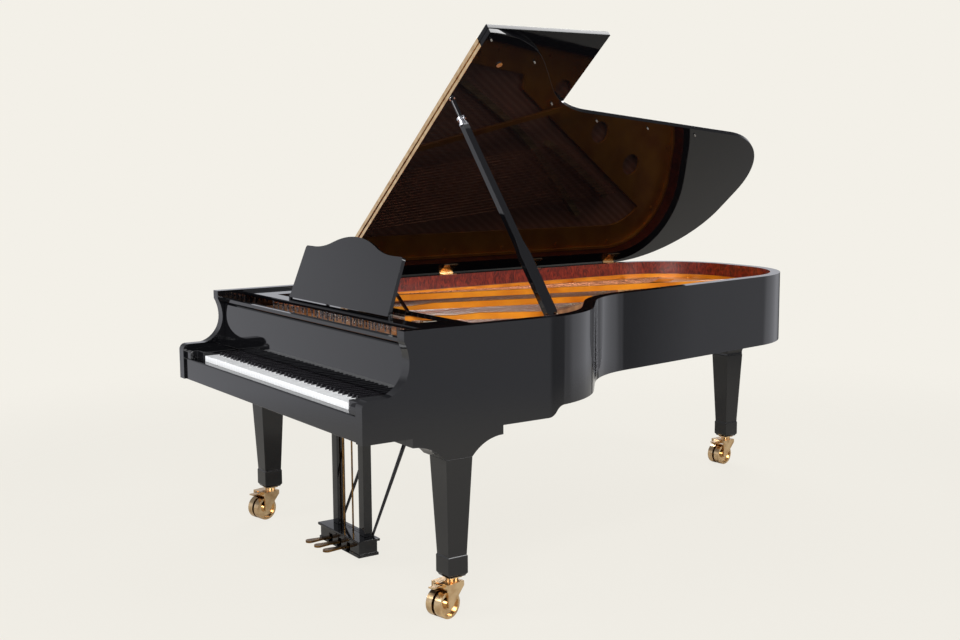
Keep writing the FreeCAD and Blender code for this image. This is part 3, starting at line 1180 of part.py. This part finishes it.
# Pedal lyre: head, two posts, pedal box, braces, three pedals and their rods.
post_boxes = [bound_box("lyre_head", ("-lyre_head_half", "lyre_head_front", "lyre_head_bottom"),
                        ("lyre_head_half", "lyre_head_back", "side_bottom"))]
for name, middle in (("lyre_post_left", "-post_span"), ("lyre_post_right", "post_span")):
    post_boxes.append(bound_box(name, (f"{middle} - post_width / 2", "post_front", "box_top"),
                                (f"{middle} + post_width / 2", "post_front + post_depth",
                                 "lyre_head_bottom")))
group("lyre_posts", post_boxes)

pedal_spans = {"left": -s.pedal_pitch, "middle": 0, "right": s.pedal_pitch}
pedal_box = block((-s.box_half, s.box_half), (s.box_front, s.box_back), (s.box_bottom, s.box_top))
plinth_half = s.box_half + s.box_plinth_reach
plinth = block((-plinth_half, plinth_half),
               (s.box_front - s.box_plinth_reach, s.box_back + s.box_plinth_reach),
               (s.box_bottom, s.box_bottom + s.box_plinth))
cap_half = s.box_half + s.box_cap_reach
cap = block((-cap_half, cap_half), (s.box_front - s.box_cap_reach, s.box_back + s.box_cap_reach),
            (s.box_top - s.box_cap, s.box_top))
box_cuts = []
for x in pedal_spans.values():
    half = s.pedal_slot_width / 2
    box_cuts.append(block((x - half, x + half), (s.box_front - s.overrun, s.box_back - s.pedal_wall),
                          (s.pedal_slot_bottom, s.pedal_slot_top)))
    box_cuts.append(rod(at(x, s.rod_depth, s.pedal_slot_bottom), at(x, s.rod_depth, s.box_top + s.overrun),
                        s.rod_hole))
pedal_pin_half = s.pedal_pitch + s.pedal_slot_width
pedal_axis_height = s.pedal_bottom + s.pedal_thickness / 2
pedal_pin = rod(at(-pedal_pin_half, s.pedal_pivot_depth, pedal_axis_height),
                at(pedal_pin_half, s.pedal_pivot_depth, pedal_axis_height), s.pedal_pin_radius)
feature("pedal_box",
        [bored(pedal_box.multiFuse([cap, plinth]).removeSplitter(), *box_cuts, pedal_pin), pedal_pin])


def pedal(x):
    """A pedal: a narrow lever that widens to a rounded toe."""
    half = s.pedal_width / 2
    toe = s.pedal_toe_width / 2
    neck = s.pedal_front + s.pedal_toe_length
    height = s.pedal_thickness
    lever = block((x - half, x + half), (neck, s.pedal_back), (s.pedal_bottom, s.pedal_bottom + height))
    points = [at(x - half, neck, s.pedal_bottom), at(x - toe, s.pedal_front + toe, s.pedal_bottom),
              at(x + toe, s.pedal_front + toe, s.pedal_bottom), at(x + half, neck, s.pedal_bottom)]
    taper = prism(points, Vector(0, 0, height))
    end = Part.makeCylinder(toe, height, at(x, s.pedal_front + toe, s.pedal_bottom))
    hub = rod(at(x - half, s.pedal_pivot_depth, pedal_axis_height),
              at(x + half, s.pedal_pivot_depth, pedal_axis_height),
              2 * s.pedal_pin_radius)
    bore = rod(at(x - s.pedal_pitch, s.pedal_pivot_depth, pedal_axis_height),
               at(x + s.pedal_pitch, s.pedal_pivot_depth, pedal_axis_height), s.pedal_pin_radius + s.pin_fit)
    return bored(lever.multiFuse([taper, end, hub]).removeSplitter(), bore)


for label, x in pedal_spans.items():
    feature(f"pedal_{label}", pedal(x))
    rod_low = s.pedal_bottom + s.pedal_thickness + s.rod_gap
    feature(f"pedal_rod_{label}",
            rod(at(x, s.rod_depth, rod_low), at(x, s.rod_depth, s.rod_top), s.rod_radius))

braces = []
for sign in (-1, 1):
    foot = at(sign * s.brace_span, s.brace_foot_depth, s.brace_foot_height)
    head = at(sign * s.brace_span, s.brace_top_depth, s.side_bottom + s.overrun)
    room = block((-half_width, half_width), (s.box_back, s.keybed_back), (0, s.side_bottom))
    room = bored(room, cap)
    bar = Part.makeCone(s.brace_foot_radius, s.brace_radius, (head - foot).Length, foot, head - foot)
    braces.append(bar.common(room))
feature("lyre_braces", braces)

doc.recompute()
os.makedirs("parts", exist_ok=True)
for piece in doc.Objects:
    if "Invalid" in piece.State or "Error" in piece.State:
        raise RuntimeError(f"{piece.Label} did not compute")
for piece in subparts:
    if piece.Shape.isNull() or not piece.Shape.isValid() or not piece.Shape.Solids:
        raise RuntimeError(f"{piece.Label} has no valid shape")
    piece.Shape.exportStep(f"parts/{piece.Label}.step")
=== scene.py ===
import math

import bmesh
import bpy
from mathutils import Matrix, Vector


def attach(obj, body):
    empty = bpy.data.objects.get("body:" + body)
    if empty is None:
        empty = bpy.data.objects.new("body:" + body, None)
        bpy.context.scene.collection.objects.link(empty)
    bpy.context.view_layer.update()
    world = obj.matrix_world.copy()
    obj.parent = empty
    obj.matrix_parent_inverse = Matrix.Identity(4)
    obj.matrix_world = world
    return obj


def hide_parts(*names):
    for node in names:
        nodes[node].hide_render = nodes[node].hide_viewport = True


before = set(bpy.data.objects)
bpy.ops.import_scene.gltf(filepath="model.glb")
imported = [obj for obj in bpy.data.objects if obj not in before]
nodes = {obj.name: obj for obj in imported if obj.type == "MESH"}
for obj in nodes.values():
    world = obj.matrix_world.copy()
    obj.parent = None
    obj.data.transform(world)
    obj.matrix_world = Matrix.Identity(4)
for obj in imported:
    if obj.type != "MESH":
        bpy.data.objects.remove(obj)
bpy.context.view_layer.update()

# Sizes of the patterns in the finishes, in millimetres.
lacquer_haze = 90
lacquer_swell = 45
veneer_flame = 18
veneer_pore = 2.5
casting_mottle = 120
casting_sand = 4
wood_fibre = 1.6
rubbing_mark = 6
fingertip_haze = 35
ebony_pore = 1.2
felt_fuzz = 1.5
rubber_skin = 2

# How far Blender's wave texture turns, in radians, over a length of 1 at a scale of 1.
wave_turn = 20


def linear(colour):
    """An sRGB hex colour as linear red, green, blue and alpha."""
    parts = [int(colour[k:k + 2], 16) / 255 for k in (1, 3, 5)]
    return [p / 12.92 if p <= 0.04045 else ((p + 0.055) / 1.055) ** 2.4 for p in parts] + [1]


def add(tree, kind, values=None, links=None, **settings):
    """A node with its settings, its socket values and its links."""
    made = tree.nodes.new("ShaderNode" + kind)
    for name, value in settings.items():
        setattr(made, name, value)
    for name, value in (values or {}).items():
        made.inputs[name].default_value = value
    for name, socket in (links or {}).items():
        tree.links.new(socket, made.inputs[name])
    return made


def coating(name, **sockets):
    """A material with one shader, its tree and the piece's own coordinates in metres."""
    material = bpy.data.materials.new(name)
    material.use_nodes = True
    tree = material.node_tree
    shader = tree.nodes["Principled BSDF"]
    for socket, value in sockets.items():
        shader.inputs[socket.replace("_", " ")].default_value = value
    place = add(tree, "TexCoord").outputs["Object"]
    return material, tree, shader, place


def per_metre(millimetres):
    """How many times a pattern of this size repeats in a metre."""
    return 1000 / millimetres


def black_lacquer(name, mirror):
    """Poured polyester lacquer, buffed, with a faint swell and polishing haze."""
    material, tree, shader, place = coating(name, IOR=1.56, Specular_IOR_Level=mirror)
    shader.inputs["Base Color"].default_value = linear("#08080A")
    haze = add(tree, "TexNoise", {"Scale": per_metre(lacquer_haze), "Detail": 3}, {"Vector": place})
    spread = add(tree, "MapRange", {"From Min": 0.3, "From Max": 0.7, "To Min": 0.02, "To Max": 0.05},
                 {"Value": haze.outputs["Fac"]})
    tree.links.new(spread.outputs["Result"], shader.inputs["Roughness"])
    swell = add(tree, "TexNoise", {"Scale": per_metre(lacquer_swell), "Detail": 1}, {"Vector": place})
    wave = add(tree, "Bump", {"Strength": 0.02, "Distance": 0.001}, {"Height": swell.outputs["Fac"]})
    tree.links.new(wave.outputs["Normal"], shader.inputs["Normal"])
    return material


# Case lacquer: deep black that mirrors the room.
lacquer = black_lacquer("black_polyester_lacquer", mirror=0.5)
# Lid lacquer: the same black with a weaker mirror, so that the gold inside shows in it as a dark brown.
lid_lacquer = black_lacquer("black_lid_lacquer", mirror=0.13)

# Figured red-brown veneer under gloss: wavy flame across the rim, with fine dark pores.
veneer, tree, shader, place = coating("figured_bubinga_veneer", Roughness=0.35, Coat_Weight=0.5,
                                      Coat_Roughness=0.06)
tall = add(tree, "Mapping", {"Scale": (1, 1, 0.45)}, {"Vector": place})
flame = add(tree, "TexNoise", {"Scale": per_metre(veneer_flame), "Detail": 5, "Distortion": 1.6},
            {"Vector": tall.outputs["Vector"]})
figure = add(tree, "ValToRGB", links={"Fac": flame.outputs["Fac"]})
figure.color_ramp.elements[0].position = 0.34
figure.color_ramp.elements[0].color = linear("#3E0C06")
figure.color_ramp.elements[1].position = 0.68
figure.color_ramp.elements[1].color = linear("#94301A")
figure.color_ramp.elements.new(0.5).color = linear("#6E1C0E")
pores = add(tree, "TexNoise", {"Scale": per_metre(veneer_pore), "Detail": 2},
            {"Vector": tall.outputs["Vector"]})
grain = add(tree, "MapRange", {"From Min": 0.35, "From Max": 0.6, "To Min": 0.7, "To Max": 1.0},
            {"Value": pores.outputs["Fac"]})
tint = add(tree, "Mix", data_type="RGBA", blend_type="MULTIPLY")
tint.inputs["Factor"].default_value = 1
tree.links.new(figure.outputs["Color"], tint.inputs["A"])
tree.links.new(grain.outputs["Result"], tint.inputs["B"])
tree.links.new(tint.outputs["Result"], shader.inputs["Base Color"])

# Sand-cast iron sprayed with bronze lacquer: warm orange gold, glossy on top, with a soft cast grain.
gilt, tree, shader, place = coating("bronzed_cast_iron", Metallic=0.3, Coat_Weight=0.5, Coat_Roughness=0.08)
mottle = add(tree, "TexNoise", {"Scale": per_metre(casting_mottle), "Detail": 4}, {"Vector": place})
bronze = add(tree, "ValToRGB", links={"Fac": mottle.outputs["Fac"]})
bronze.color_ramp.elements[0].position = 0.3
bronze.color_ramp.elements[0].color = linear("#C56C0A")
bronze.color_ramp.elements[1].position = 0.75
bronze.color_ramp.elements[1].color = linear("#EE9A1E")
tree.links.new(bronze.outputs["Color"], shader.inputs["Base Color"])
sand = add(tree, "TexNoise", {"Scale": per_metre(casting_sand), "Detail": 3}, {"Vector": place})
rough = add(tree, "MapRange", {"To Min": 0.26, "To Max": 0.42}, {"Value": sand.outputs["Fac"]})
tree.links.new(rough.outputs["Result"], shader.inputs["Roughness"])
cast = add(tree, "Bump", {"Strength": 0.12, "Distance": 0.0006}, {"Height": sand.outputs["Fac"]})
tree.links.new(cast.outputs["Normal"], shader.inputs["Normal"])


def sawn_wood(name, pale, dark, ring, turn, roughness):
    """Sawn and varnished wood: wavy growth rings of one spacing, with fine fibres along them."""
    material, tree, shader, place = coating(name, Roughness=roughness, Coat_Weight=0.3, Coat_Roughness=0.15)
    along = add(tree, "Mapping", {"Rotation": (0, 0, math.radians(turn))}, {"Vector": place})
    ring_scale = math.tau * per_metre(ring) / wave_turn
    rings = add(tree, "TexWave", {"Scale": ring_scale, "Distortion": 1.2, "Detail": 2, "Detail Scale": 0.4},
                {"Vector": along.outputs["Vector"]}, bands_direction="X")
    thin = add(tree, "Mapping", {"Scale": (1, 0.04, 1)}, {"Vector": along.outputs["Vector"]})
    fibres = add(tree, "TexNoise", {"Scale": per_metre(wood_fibre), "Detail": 3},
                 {"Vector": thin.outputs["Vector"]})
    both = add(tree, "Math", links={0: rings.outputs["Fac"], 1: fibres.outputs["Fac"]}, operation="MULTIPLY")
    tone = add(tree, "ValToRGB", links={"Fac": both.outputs["Value"]})
    tone.color_ramp.elements[0].position = 0.1
    tone.color_ramp.elements[0].color = linear(dark)
    tone.color_ramp.elements[1].position = 0.6
    tone.color_ramp.elements[1].color = linear(pale)
    tree.links.new(tone.outputs["Color"], shader.inputs["Base Color"])
    lift = add(tree, "Bump", {"Strength": 0.1, "Distance": 0.0003}, {"Height": fibres.outputs["Fac"]})
    tree.links.new(lift.outputs["Normal"], shader.inputs["Normal"])
    return material


# Quarter-sawn spruce, varnished: pale rings, drawn 31 mm apart so that they show, where real ones are 2 mm.
# Both ring tones are tinted pink as a painted reflection of the red veneer lining, over the wood's own tone.
spruce = sawn_wood("spruce_with_painted_lining_reflection", pale="#DCA084", dark="#BE8064", ring=31.416, turn=-35, roughness=0.32)
# Beech, oiled: even pinkish tan with short fine fibres, its rings drawn 57 mm apart as broad soft bands.
beech = sawn_wood("oiled_beech", pale="#C29A6B", dark="#A47C50", ring=56.549, turn=8, roughness=0.45)


def metal(name, bright, dull, smoothest, roughest, patch):
    """A polished metal whose tone and polish drift slightly over the surface, with fine rubbing marks."""
    material, tree, shader, place = coating(name, Metallic=1.0)
    drift = add(tree, "TexNoise", {"Scale": per_metre(patch), "Detail": 4}, {"Vector": place})
    tone = add(tree, "ValToRGB", links={"Fac": drift.outputs["Fac"]})
    tone.color_ramp.elements[0].position = 0.3
    tone.color_ramp.elements[0].color = linear(dull)
    tone.color_ramp.elements[1].position = 0.62
    tone.color_ramp.elements[1].color = linear(bright)
    tree.links.new(tone.outputs["Color"], shader.inputs["Base Color"])
    rub = add(tree, "TexNoise", {"Scale": per_metre(rubbing_mark), "Detail": 5}, {"Vector": place})
    polish = add(tree, "MapRange",
                 {"From Min": 0.3, "From Max": 0.7, "To Min": smoothest, "To Max": roughest},
                 {"Value": rub.outputs["Fac"]})
    tree.links.new(polish.outputs["Result"], shader.inputs["Roughness"])
    return material


# Polished and lacquered brass: warm yellow mirror with faint tarnish.
brass = metal("polished_brass", bright="#EACCA0", dull="#C8A478", smoothest=0.1, roughest=0.24, patch=30)
# Drawn and tinned music wire: bright grey lines.
wire = metal("drawn_steel_wire", bright="#D2D0CC", dull="#B4B2AE", smoothest=0.18, roughest=0.3, patch=60)
# Copper winding on the bass strings: reddish brown lines.
copper = metal("copper_winding", bright="#D8926C", dull="#B06E4C", smoothest=0.22, roughest=0.36, patch=60)
# Nickelled turned steel: bright cool grey.
nickel = metal("nickelled_steel", bright="#D8D8DA", dull="#BEBEC2", smoothest=0.08, roughest=0.18, patch=40)
# Blued steel pins: dark grey with a blue cast.
blued = metal("blued_steel", bright="#8C9098", dull="#6A6E78", smoothest=0.22, roughest=0.36, patch=12)
# Browned bronze: dark gold where the polish is rubbed off.
bronzed = metal("browned_bronze", bright="#8E6C40", dull="#5E4428", smoothest=0.16, roughest=0.3, patch=25)

# Cast and polished white acrylic key covering: clean white with fingertip haze.
acrylic, tree, shader, place = coating("white_acrylic", IOR=1.49)
shader.inputs["Base Color"].default_value = linear("#F3F4F4")
touch = add(tree, "TexNoise", {"Scale": per_metre(fingertip_haze), "Detail": 3}, {"Vector": place})
shine = add(tree, "MapRange", {"From Min": 0.3, "From Max": 0.7, "To Min": 0.14, "To Max": 0.28},
            {"Value": touch.outputs["Fac"]})
tree.links.new(shine.outputs["Result"], shader.inputs["Roughness"])

# Milled and sanded ebony: satin black with fine lengthwise pores.
ebony, tree, shader, place = coating("sanded_ebony", IOR=1.5)
long = add(tree, "Mapping", {"Scale": (1, 0.05, 1)}, {"Vector": place})
pore = add(tree, "TexNoise", {"Scale": per_metre(ebony_pore), "Detail": 3},
           {"Vector": long.outputs["Vector"]})
tone = add(tree, "ValToRGB", links={"Fac": pore.outputs["Fac"]})
tone.color_ramp.elements[0].color = linear("#050505")
tone.color_ramp.elements[1].color = linear("#17151A")
tree.links.new(tone.outputs["Color"], shader.inputs["Base Color"])
satin = add(tree, "MapRange", {"To Min": 0.2, "To Max": 0.34}, {"Value": pore.outputs["Fac"]})
tree.links.new(satin.outputs["Result"], shader.inputs["Roughness"])

# Pressed wool felt: off-white, matt and fuzzy.
felt, tree, shader, place = coating("pressed_wool_felt", Roughness=0.95, Sheen_Weight=0.4,
                                    Sheen_Roughness=0.5)
fuzz = add(tree, "TexNoise", {"Scale": per_metre(felt_fuzz), "Detail": 4}, {"Vector": place})
tone = add(tree, "ValToRGB", links={"Fac": fuzz.outputs["Fac"]})
tone.color_ramp.elements[0].color = linear("#CFC8B8")
tone.color_ramp.elements[1].color = linear("#F0EBDF")
tree.links.new(tone.outputs["Color"], shader.inputs["Base Color"])
nap = add(tree, "Bump", {"Strength": 0.4, "Distance": 0.0005}, {"Height": fuzz.outputs["Fac"]})
tree.links.new(nap.outputs["Normal"], shader.inputs["Normal"])

# Moulded grey rubber: matt, with a fine skin.
rubber, tree, shader, place = coating("moulded_grey_rubber", Roughness=0.6, IOR=1.52)
skin = add(tree, "TexNoise", {"Scale": per_metre(rubber_skin), "Detail": 3}, {"Vector": place})
tone = add(tree, "ValToRGB", links={"Fac": skin.outputs["Fac"]})
tone.color_ramp.elements[0].color = linear("#5C5954")
tone.color_ramp.elements[1].color = linear("#78746D")
tree.links.new(tone.outputs["Color"], shader.inputs["Base Color"])

pedal_pieces = [f"pedal_{kind}{side}" for kind in ("", "rod_") for side in ("left", "middle", "right")]
caster_pieces = [f"caster_{corner}_{kind}" for corner in ("left", "right", "tail")
                 for kind in ("fork", "wheels", "brake")]
finishes = {
    lacquer: ["outer_rim", "keybed", "keyslip", "key_blocks", "leg_blocks", "fallboard", "desk_rails",
              "desk_tray", "desk_panel", "desk_struts", "prop_stick", "prop_rod", "leg_left", "leg_right",
              "leg_tail", "lyre_posts", "pedal_box", "lyre_braces"],
    lid_lacquer: ["lid_main", "lid_front"],
    veneer: ["rim_lining"],
    gilt: ["iron_plate"],
    spruce: ["soundboard"],
    beech: ["inner_rim", "case_beams", "pin_plank", "bridges", "action_frame"],
    wire: ["steel_strings"],
    copper: ["bass_strings"],
    blued: ["tuning_pins"],
    acrylic: ["white_keys"],
    ebony: ["black_keys"],
    felt: ["white_hammers", "black_hammers"],
    nickel: ["prop_collar", "prop_cups"],
    rubber: ["lid_bumpers"],
    bronzed: pedal_pieces,
    brass: ["long_hinge_main_leaf", "long_hinge_front_leaf", "lid_hinge_rim_leaves", "lid_hinge_lid_leaves",
            "caster_plates", "prop_bracket"] + caster_pieces,
}
for material, names in finishes.items():
    for name in names:
        nodes[name].data.materials.clear()
        nodes[name].data.materials.append(material)

# Edge roundings and the tolerances for them, in metres and degrees.
weld_gap = 0.00001
sharp_edge = 38
case_round = 0.0022
leg_round = 0.0018
key_round = 0.0009
pedal_round = 0.0025


def soften(names, width, steps=2):
    """Round the sharp edges of solid pieces so that they catch the light."""
    for name in names:
        weld = nodes[name].modifiers.new("join", "WELD")
        weld.merge_threshold = weld_gap
        bevel = nodes[name].modifiers.new("edge", "BEVEL")
        bevel.width = width
        bevel.segments = steps
        bevel.limit_method = "ANGLE"
        bevel.angle_limit = math.radians(sharp_edge)
        bevel.harden_normals = False
        nodes[name].modifiers.new("shade", "WEIGHTED_NORMAL")


soften(["outer_rim", "keyslip", "key_blocks", "leg_blocks", "fallboard", "desk_panel", "lid_main",
        "lid_front", "pedal_box", "lyre_posts"], case_round)
soften(["leg_left", "leg_right", "leg_tail", "prop_stick", "desk_tray"], leg_round)
soften(["white_keys", "black_keys"], key_round)
soften(["pedal_left", "pedal_middle", "pedal_right"], pedal_round, steps=3)

# Straight up, and how near two points are, in metres, to count as one.
up = Vector((0, 0, 1))
same_point = 0.000001


def islands(name):
    """The separate solids of a node, each as a list of points."""
    work = bmesh.new()
    work.from_mesh(nodes[name].data)
    bmesh.ops.remove_doubles(work, verts=work.verts, dist=same_point)
    seen = set()
    found = []
    for first in work.verts:
        if first in seen:
            continue
        seen.add(first)
        queue = [first]
        points = []
        while queue:
            vert = queue.pop()
            points.append(vert.co.copy())
            for edge in vert.link_edges:
                other = edge.other_vert(vert)
                if other not in seen:
                    seen.add(other)
                    queue.append(other)
        found.append(points)
    work.free()
    return found


def corners(points):
    """The lowest and highest corner of some points."""
    return [Vector([pick(p[k] for p in points) for k in range(3)]) for pick in (min, max)]


def string_ends():
    """The front end and the back end of every string."""
    for name in ("steel_strings", "bass_strings"):
        for points in islands(name):
            yield min(points, key=lambda p: p.y), max(points, key=lambda p: p.y)


def piece(name, work, material, body):
    """A finished mesh that rides on a body."""
    mesh = bpy.data.meshes.new(name)
    bmesh.ops.recalc_face_normals(work, faces=work.faces)
    work.to_mesh(mesh)
    work.free()
    mesh.materials.append(material)
    made = bpy.data.objects.new(name, mesh)
    bpy.context.scene.collection.objects.link(made)
    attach(made, body)
    return made


def turned(work, base, profile, sides=10):
    """An upright turned form: (radius, height) steps above a base point."""
    loops = []
    for radius, height in profile:
        loops.append([
            work.verts.new(base + Vector((radius * math.cos(math.tau * k / sides),
                                          radius * math.sin(math.tau * k / sides), height)))
            for k in range(sides)])
    for low, high in zip(loops, loops[1:]):
        for k in range(sides):
            work.faces.new((low[k], low[(k + 1) % sides], high[(k + 1) % sides], high[k]))
    work.faces.new(loops[0])
    work.faces.new(loops[-1])


# Damper heads: a black block with chamfered shoulders over a tapered felt.
# Points of both outlines as shares of half the damper's width and of its height.
felt_top_share = 0.42
shoulder_share = 0.85
felt_shares = [(-0.55, 0), (0.55, 0), (0.8, felt_top_share), (-0.8, felt_top_share)]
head_shares = [(-1, felt_top_share), (1, felt_top_share), (1, shoulder_share), (0.7, 1), (-0.7, 1),
               (-1, shoulder_share)]
heads = bmesh.new()
pads = bmesh.new()
for points in islands("dampers"):
    low, high = corners(points)
    half = (high.x - low.x) / 2
    middle = (high.x + low.x) / 2
    height = high.z - low.z
    for work, outline in ((pads, felt_shares), (heads, head_shares)):
        ends = [[work.verts.new((middle + x * half, y, low.z + z * height)) for x, z in outline]
                for y in (low.y, high.y)]
        count = len(outline)
        for k in range(count):
            work.faces.new((ends[0][k], ends[0][(k + 1) % count], ends[1][(k + 1) % count], ends[1][k]))
        work.faces.new(ends[0])
        work.faces.new(ends[1])
damper_heads = piece("damper_heads", heads, ebony, "dampers")
damper_felts = piece("damper_felts", pads, felt, "dampers")
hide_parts("dampers")

# Bridge pins: a small blued pin beside every string where it crosses its bridge.
# The bridge is looked for from the string's back end forwards, in steps of a share of its length.
pin_radius = 0.0014
pin_tip_radius = 0.0009
pin_shoulder_share = 0.8
pin_proud = 0.003
pin_aside = 0.003
search_rise = 0.01
search_steps = 39
search_step_share = 0.005
bridge_gap = 0.02
pins = bmesh.new()
for near, far in string_ends():
    for step in range(1, search_steps + 1):
        crossing = far + (near - far) * step * search_step_share
        hit, spot = nodes["bridges"].ray_cast(crossing + Vector((pin_aside, 0, search_rise)), -up)[:2]
        if hit and crossing.z - spot.z < bridge_gap:
            rise = max(crossing.z - spot.z, 0) + pin_proud
            turned(pins, spot, [(pin_radius, 0), (pin_radius, rise * pin_shoulder_share),
                                (pin_tip_radius, rise)])
            break
bridge_pins = piece("bridge_pins", pins, blued, "case")

# Agraffes: a brass stud on the plate at the front bearing of every string.
stud_radius = 0.0036
stud_neck_radius = 0.0028
stud_tip_radius = 0.0018
stud_foot_share = 0.4
stud_neck_share = 0.45
stud_shoulder_share = 0.9
stud_proud = 0.004
stud_search_rise = 0.05
studs = bmesh.new()
front_bearing = max(p.y for p in islands("pin_plank")[0])
for near, far in string_ends():
    rest = near + (far - near) * ((front_bearing - near.y) / (far.y - near.y))
    hit, spot = nodes["iron_plate"].ray_cast(rest + up * stud_search_rise, -up)[:2]
    if hit:
        rise = rest.z - spot.z + stud_proud
        turned(studs, spot, [(stud_radius, 0), (stud_radius, rise * stud_foot_share),
                             (stud_neck_radius, rise * stud_neck_share),
                             (stud_neck_radius, rise * stud_shoulder_share), (stud_tip_radius, rise)])
agraffes = piece("agraffes", studs, brass, "case")

# Stage: a pale floor that fades into the backdrop, soft lamps and the room that the lacquer mirrors.
backdrop_colour = linear("#F3F0E8")
floor_radius = 5
fade_start = 2.4
fade_end = 4.8
floor_glow_share = 0.9
floor_mesh = bpy.data.meshes.new("floor")
disc = bmesh.new()
bmesh.ops.create_circle(disc, cap_ends=True, segments=96, radius=floor_radius)
disc.to_mesh(floor_mesh)
disc.free()
floor = bpy.data.objects.new("floor", floor_mesh)
bpy.context.scene.collection.objects.link(floor)
# Matt paper: a soft shadow under the piano on the backdrop's own tone.
paper, tree, shader, place = coating("matt_paper_floor", Roughness=0.9)
shader.inputs["Base Color"].default_value = linear("#B4B1AA")
glow = add(tree, "Emission", {"Color": backdrop_colour, "Strength": 1})
path = add(tree, "LightPath")
lift = add(tree, "Math", {1: floor_glow_share}, {0: path.outputs["Is Camera Ray"]}, operation="MULTIPLY")
lit = add(tree, "MixShader", links={0: lift.outputs["Value"], 1: shader.outputs["BSDF"],
                                    2: glow.outputs["Emission"]})
reach = add(tree, "VectorMath", links={0: place}, operation="LENGTH")
fade = add(tree, "MapRange", {"From Min": fade_start, "From Max": fade_end},
           {"Value": reach.outputs["Value"]}, interpolation_type="SMOOTHSTEP")
clear = add(tree, "BsdfTransparent")
blend = add(tree, "MixShader", links={0: fade.outputs["Result"], 1: lit.outputs["Shader"],
                                      2: clear.outputs["BSDF"]})
tree.links.new(blend.outputs["Shader"], tree.nodes["Material Output"].inputs["Surface"])
floor_mesh.materials.append(paper)

# The room: walls of different brightness at the horizon, and over them an even light that darkens upwards.
# Each wall level stands at its degrees about the vertical, counted from the treble side towards the tail.
far_wall = 0.8
wall_levels = ((-100, far_wall), (-60, 0.6), (20, 0.62), (39, 0.62), (43, 0.3), (58, 0.3), (60, 0.62),
               (65, 0.62), (72, 0.95), (100, 0.95), (110, 0.6), (122, 0.07), (140, 0.07), (152, 0.6))
world = bpy.data.worlds.new("studio")
bpy.context.scene.world = world
world.use_nodes = True
tree = world.node_tree
tree.nodes.clear()
aim = add(tree, "SeparateXYZ", links={"Vector": add(tree, "TexCoord").outputs["Generated"]})
heading = add(tree, "Math", links={0: aim.outputs["Y"], 1: aim.outputs["X"]}, operation="ARCTAN2")
around = add(tree, "MapRange", {"From Min": -math.pi, "From Max": math.pi},
             {"Value": heading.outputs["Value"]})
walls = add(tree, "ValToRGB", links={"Fac": around.outputs["Result"]})
stops = walls.color_ramp.elements
stops[0].color = [far_wall, far_wall, far_wall, 1]
stops[1].color = [far_wall, far_wall, far_wall, 1]
for degrees, level in wall_levels:
    stops.new((degrees + 180) / 360).color = [level, level, level, 1]
upward = add(tree, "MapRange", {"From Min": 0.02, "From Max": 0.1}, {"Value": aim.outputs["Z"]},
             interpolation_type="SMOOTHSTEP")
above = add(tree, "MapRange", {"From Min": 0.2, "From Max": 0.42, "To Min": 0.75, "To Max": 0.28},
            {"Value": aim.outputs["Z"]}, interpolation_type="SMOOTHSTEP")
light = add(tree, "Mix", links={"Factor": upward.outputs["Result"], "A": walls.outputs["Color"],
                                "B": above.outputs["Result"]})
room = add(tree, "Background", {"Color": linear("#EEEFF6")}, {"Strength": light.outputs["Result"]})
backdrop = add(tree, "Background", {"Color": backdrop_colour, "Strength": 1})
path = add(tree, "LightPath")
choose = add(tree, "MixShader", links={0: path.outputs["Is Camera Ray"], 1: room.outputs["Background"],
                                       2: backdrop.outputs["Background"]})
add(tree, "OutputWorld", links={"Surface": choose.outputs["Shader"]})


def softbox(name, spot, target, size, watts):
    """A square lamp that faces a point."""
    lamp = bpy.data.lights.new(name, "AREA")
    lamp.size = size
    lamp.energy = watts
    made = bpy.data.objects.new(name, lamp)
    made.location = spot
    made.rotation_euler = (Vector(target) - Vector(spot)).to_track_quat("-Z", "Y").to_euler()
    bpy.context.scene.collection.objects.link(made)


softbox("key_softbox", spot=(4.2, -3.4, 3.4), target=(0, 0, 0.8), size=3.0, watts=300)
softbox("front_softbox", spot=(-0.6, -4.4, 2.6), target=(0, -1.2, 0.8), size=2.0, watts=75)
softbox("side_softbox", spot=(4.6, 2.4, 3.0), target=(0, 0.3, 0.9), size=2.0, watts=110)
softbox("edge_softbox", spot=(0.7, 1.45, 4.4), target=(0.43, -0.4, 2.0), size=0.9, watts=40)
softbox("back_softbox", spot=(-3.2, 2.6, 2.8), target=(-1.4, 1.6, 0), size=3.0, watts=130)

# Camera: its place in metres, its film and lens in millimetres and its angles in degrees.
camera_place = (4.301, -3.342, 1.585)
film_width = 36
lens_length = 47.925
camera_turn = 55.7
camera_dip = 7.54
camera_roll = -0.34
camera = bpy.data.cameras.new("camera")
camera.sensor_width = film_width
camera.lens = lens_length
viewer = bpy.data.objects.new("camera", camera)
turn = Matrix.Rotation(math.radians(camera_turn), 4, "Z")
dip = Matrix.Rotation(math.radians(90 - camera_dip), 4, "X")
roll = Matrix.Rotation(math.radians(camera_roll), 4, "Z")
viewer.matrix_world = Matrix.Translation(camera_place) @ turn @ dip @ roll
bpy.context.scene.collection.objects.link(viewer)
bpy.context.scene.camera = viewer
bpy.context.scene.view_settings.view_transform = "Standard"
